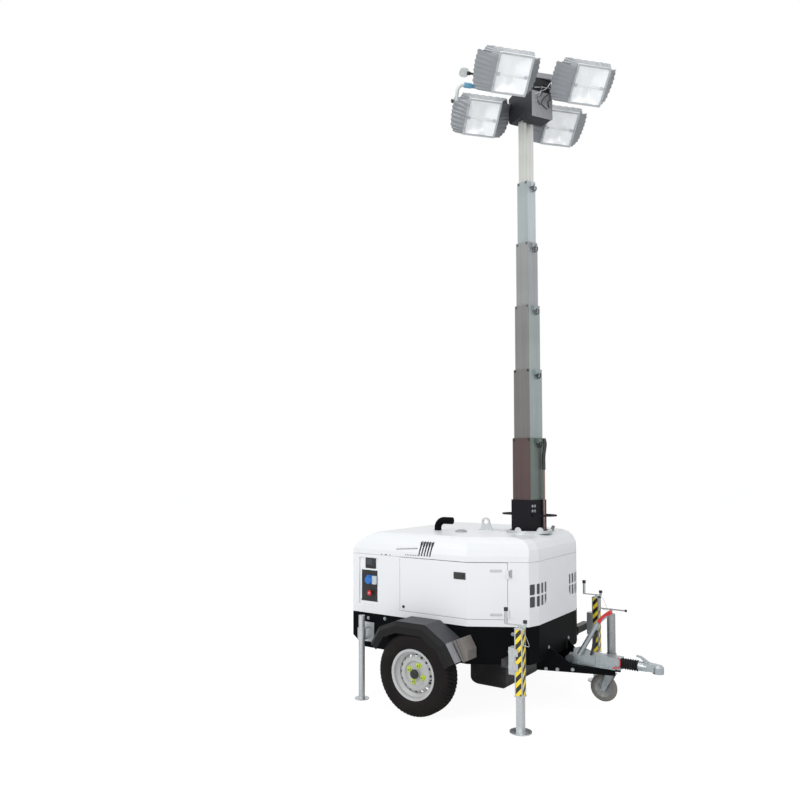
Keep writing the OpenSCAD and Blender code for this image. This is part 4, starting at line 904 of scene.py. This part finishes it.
link = along(smooth_path([[1.160, -0.064, 0.340], [1.208, -0.060, 0.350], [1.212, -0.050, 0.395],
                          [1.195, -0.046, 0.415]]), 0.004, 8)
link.at(moved(axle_x)).piece("brake_link", "trailer", RED, 40)
disc = turned_part([[0.012, 0.0], [0.055, 0.0], [0.062, 0.004], [0.070, 0.004], [0.070, 0.007],
                    [0.058, 0.007], [0.052, 0.004], [0.012, 0.004]], None, 40)
discs = disc.at(*[wall(1035, 1000 * jockey_y + s * 14, 140, 90 * s) for s in SIDES.values()])
discs.piece("jockey_disc", "jockey_roller", TUBE_GREY)

# Painted shade: a dark sheet behind the grille slots, bent as the wall is
grille_shades = Shape()
for s in SIDES.values():
    line = np.array([[0.7245, s * 0.190], [0.7245, s * 0.3460], [0.6960, s * 0.4380]])
    low, high = (np.column_stack([line, np.full(3, z)]) for z in (0.762, 0.948))
    grille_shades.grid(np.stack([low, high] if s < 0 else [high, low]), place=moved(axle_x))
grille_shades.piece("grille_backs", "trailer", GRILLE_SHADE, 20)

# Wheel chocks: a stack of three folded blocks on each side, which leans with the mudguard's front plate
block_top = np.array([[281, 556], [352, 588]]) / 1000
block_foot = np.array([[364, 419], [402, 437]]) / 1000
block_nose = [0.402, 0.505]
chocks = Shape()
for s in SIDES.values():
    outboard = np.array([[1, 0, 0, axle_x], [0, 0, s, s * 0.672], [0, 1, 0, 0], [0, 0, 0, 1.0]])
    for k in range(3):
        (a, b), (c, d) = ([line[0] + (line[1] - line[0]) * (k + e) / 3 for e in (0.04, 0.96)]
                          for line in (block_top, block_foot))
        corners = [a, c, d] + ([block_nose] if k == 2 else []) + [b]
        chocks.copies(bar(corners, 0.128 - 0.004 * (k % 2), 0.004), outboard)
chocks.piece("chock_blocks", "trailer", GREY_PLASTIC, 25, replaces=["wheel_chocks"])

# Head: cap over the upper bar, thin cables over the front plate
head = moved(mast_x) @ turned("z", head_turn)
t = np.linspace(0, np.pi / 2, 8)
dome = np.vstack([[0.0005, 0.0], [0.060, 0.0],
                  np.column_stack([0.060 * np.cos(t), 0.022 + 0.026 * np.sin(t)])])
dome[-1, 0] = 0.0005
turned_part(dome, head @ moved(0.150, 0.030, 4.741), 32).piece("head_cap", "mast_stage_6", HEAD_CAP, 40)
DARK_CABLES = [
    [(0.221, 0.020, 4.700), (0.232, 0.060, 4.640), (0.229, 0.010, 4.585), (0.225, -0.010, 4.540),
     (0.223, 0.040, 4.505)],
    [(0.221, 0.055, 4.700), (0.227, 0.072, 4.600), (0.227, 0.048, 4.560), (0.223, 0.060, 4.520)],
    [(0.221, -0.030, 4.690), (0.234, -0.010, 4.620), (0.228, -0.050, 4.570), (0.223, -0.020, 4.525)]]
PALE_CABLES = [
    [(0.220, -0.070, 4.655), (0.226, 0.000, 4.667), (0.221, 0.075, 4.675)],
    [(0.221, 0.000, 4.672), (0.232, -0.030, 4.610), (0.224, -0.060, 4.545)],
    [(0.221, 0.075, 4.720), (0.228, 0.030, 4.660), (0.223, -0.070, 4.600)]]
for name, finish, lines in (("head_cables_dark", BLACK_PLASTIC, DARK_CABLES),
                            ("head_cables_pale", HEAD_CAP, PALE_CABLES)):
    cables = Shape()
    for line in lines:
        cables.copies(along(smooth_path(line), 0.0033, 8), head)
    cables.piece(name, "mast_stage_6", finish, 50)

# Side fittings of the rear upper floodlight: hanging plate, plug, blue connector, elbow
rear_lamp, body = lamp_place("upper_right"), "floodlight_upper_right"
swap = np.array([[0, 0, 1, 0], [1, 0, 0, 0], [0, 1, 0, 0], [0, 0, 0, 1.0]])     # local X, Y, Z to Y, Z, X
hanging = rear_lamp @ (moved(0.118, -0.330, -0.055) @ swap)
flag = bar(rounded(0.070, 0.064, 0.024, 6) + [0.006, 0], 0.004, 0.001).at(hanging)
flag.copies(bar(rounded(0.130, 0.014, 0.004, 4), 0.004, 0.001), hanging @ moved(0.095, 0.0, 0))
flag.piece("lamp_side_plate", body, HEAD_CAP)
outwards = turned("x", -90)
plug = turned_part([[0.0004, 0], [0.013, 0], [0.013, 0.022], [0.008, 0.030], [0.008, 0.130], [0.0004, 0.130]],
                   rear_lamp @ moved(0.118, -0.300, -0.056) @ outwards, 18)
plug.piece("lamp_side_plug", body, BLACK_PLASTIC, 35)
connector = turned_part([[0.0004, 0], [0.017, 0], [0.019, 0.004], [0.019, 0.056], [0.015, 0.060],
                         [0.015, 0.140], [0.0004, 0.140]],
                        rear_lamp @ moved(0.105, -0.300, -0.140) @ outwards, 24)
connector.piece("lamp_blue_connector", body, BLUE_GREY, 35)
elbow = along(smooth_path([[0.105, -0.298, -0.140], [0.105, -0.322, -0.146], [0.108, -0.340, -0.170],
                           [0.112, -0.342, -0.205], [0.118, -0.336, -0.250]], 7), 0.0125, 14)
elbow.at(rear_lamp).piece("lamp_cable_elbow", body, HEAD_CAP, 50)

# Gland of the rear lower floodlight
low_lamp, body = lamp_place("lower_right"), "floodlight_lower_right"
gland = block(0.110, 0.150, -0.240, -0.190, 0.060, 0.084, 0.004).at(low_lamp)
gland.piece("lamp_gland", body, BLACK_PLASTIC)
nut = turned_part([[0.0004, 0.080], [0.014, 0.080], [0.014, 0.096], [0.010, 0.104], [0.0004, 0.104]],
                  low_lamp @ moved(0.130, -0.215, 0), 18)
nut.piece("lamp_gland_nut", body, HEAD_CAP, 35)

# Mast: conduit up the fixed section, cable loops, their plates and bolts at the moving sections' tops
conduit_place = on_mast(0, 52, 1290, 107) @ swap.T
conduit = along(smooth_path([[0, 0, 0], [0, 0, 0.16], [0, 0, 0.32], [0, 0, 0.47]], 6), 0.0090, 12)
conduit.at(conduit_place).piece("mast_conduit", "mast_turret", CONDUIT, 40)
sleeve = along(smooth_path([[0, 0, 0.46], [0, 0, 0.56], [0.006, 0.004, 0.62], [0.008, 0.008, 0.66],
                            [0.0, 0.006, 0.70]], 6), 0.0135, 12)
sleeve.at(conduit_place).piece("conduit_sleeve", "mast_turret", BLACK_PLASTIC, 40)
t = np.radians(np.linspace(150, 395, 22))
bend = np.column_stack([0.013 + 0 * t, 0.018 + 0.026 * np.cos(t), 0.026 * np.sin(t) - 0.046])
loop = along(bend, 0.0048, 8)
BASE_TOP = 1520.0                       # top of the fixed section, and what each moving one adds to it
section_tops = BASE_TOP + np.cumsum([475, 533, 500, 493, 481])
for k, top in enumerate(section_tops, 1):
    half = 95.0 - 9 * k
    loops = loop.at(on_mast(0, 0, top, half) @ swap.T)
    loops.copies(plate(0.030, 0.034, 0.005), on_mast(0, 14, top - 42, half))
    loops.copies(bolt_head(0.0065, 0.004), *[on_mast(face, y, top - 14, half)
                                             for face in (270, 90, 180) for y in (14 - half, half - 14)])
    loops.piece("cable_loops_%d" % k, "mast_stage_%d" % k, BLACK_PLASTIC if k < 3 else LOOP_GREY, 40)


# Stage, lights and camera
def stage_plane():
    """Pale floor that runs far back, so that it meets the pale background."""
    mesh = bpy.data.meshes.new("floor")
    mesh.from_pydata([[-40, -14, 0], [40, -14, 0], [40, 60, 0], [-40, 60, 0]], [], [[0, 1, 2, 3]])
    f = Finish("floor_white")
    ray = f.node("ShaderNodeLightPath", {}, {}, "Is Camera Ray")
    matt = f.node("ShaderNodeBsdfDiffuse", {}, {"Color": (0.90, 0.90, 0.90)})
    glow = f.node("ShaderNodeEmission", {}, {"Color": (1.0, 1.0, 1.0), "Strength": 1.09})
    mesh.materials.append(f.shown(f.node("ShaderNodeMixShader", {}, {0: ray * 0.86, 1: matt, 2: glow})))
    linked("floor", mesh)


def pale_world():
    """White to the camera, to reflections and through glass, softer and bluer as a light."""
    world = bpy.data.worlds.new("pale_world")
    f = Finish("pale_world", world)
    camera, glossy, through = (f.node("ShaderNodeLightPath", {}, {}, "Is %s Ray" % kind)
                               for kind in ("Camera", "Glossy", "Transmission"))
    soft = f.node("ShaderNodeBackground", {}, {"Color": (0.93, 0.96, 1.0), "Strength": 0.52})
    white = f.node("ShaderNodeBackground", {}, {"Color": (1.0, 1.0, 1.0), "Strength": 1.0})
    seen = camera.most(glossy).most(through)
    bpy.context.scene.world = f.shown(f.node("ShaderNodeMixShader", {}, {0: seen, 1: soft, 2: white}))


def soft_box(name, place, aim, size, watts):
    """A square area light that looks from one point at another."""
    light = bpy.data.lights.new(name, "AREA")
    light.size, light.energy = size, watts
    obj = linked(name, light)
    obj.location = place
    obj.rotation_euler = (Vector(aim) - Vector(place)).to_track_quat("-Z", "Y").to_euler()


def photo_camera():
    """The photograph's viewpoint: azimuth 34.96 and elevation -2.02 degrees, with a small shift up."""
    a, e, roll = np.radians([34.96, -2.02, -0.12])
    look = np.array([-np.sin(a) * np.cos(e), np.cos(a) * np.cos(e), -np.sin(e)])
    right = np.array([np.cos(a), np.sin(a), 0.0])
    up = np.cross(right, look)
    right, up = right * np.cos(roll) + up * np.sin(roll), up * np.cos(roll) - right * np.sin(roll)
    lens = bpy.data.cameras.new("photo_camera")
    lens.sensor_fit, lens.sensor_width, lens.lens = "HORIZONTAL", 36.0, 33.28
    lens.shift_y, lens.clip_end = 0.05, 200.0
    obj = linked("photo_camera", lens)
    turn = np.eye(4)
    turn[:3, 0], turn[:3, 1], turn[:3, 2] = right, up, -look
    turn[:3, 3] = (2.57512, -5.28459, 1.78022)
    obj.matrix_world = Matrix(turn)
    bpy.context.scene.camera = obj


stage_plane()
pale_world()
soft_box("key_light", (-1.5, -7.5, 5.0), (0.0, 0.0, 1.2), 5.0, 300)
soft_box("front_light", (7.5, -2.5, 3.5), (0.0, 0.0, 1.6), 4.0, 120)
soft_box("top_light", (0.5, -1.0, 8.5), (0.0, 0.0, 0.5), 5.0, 150)
photo_camera()
bpy.context.scene.view_settings.view_transform = "Standard"
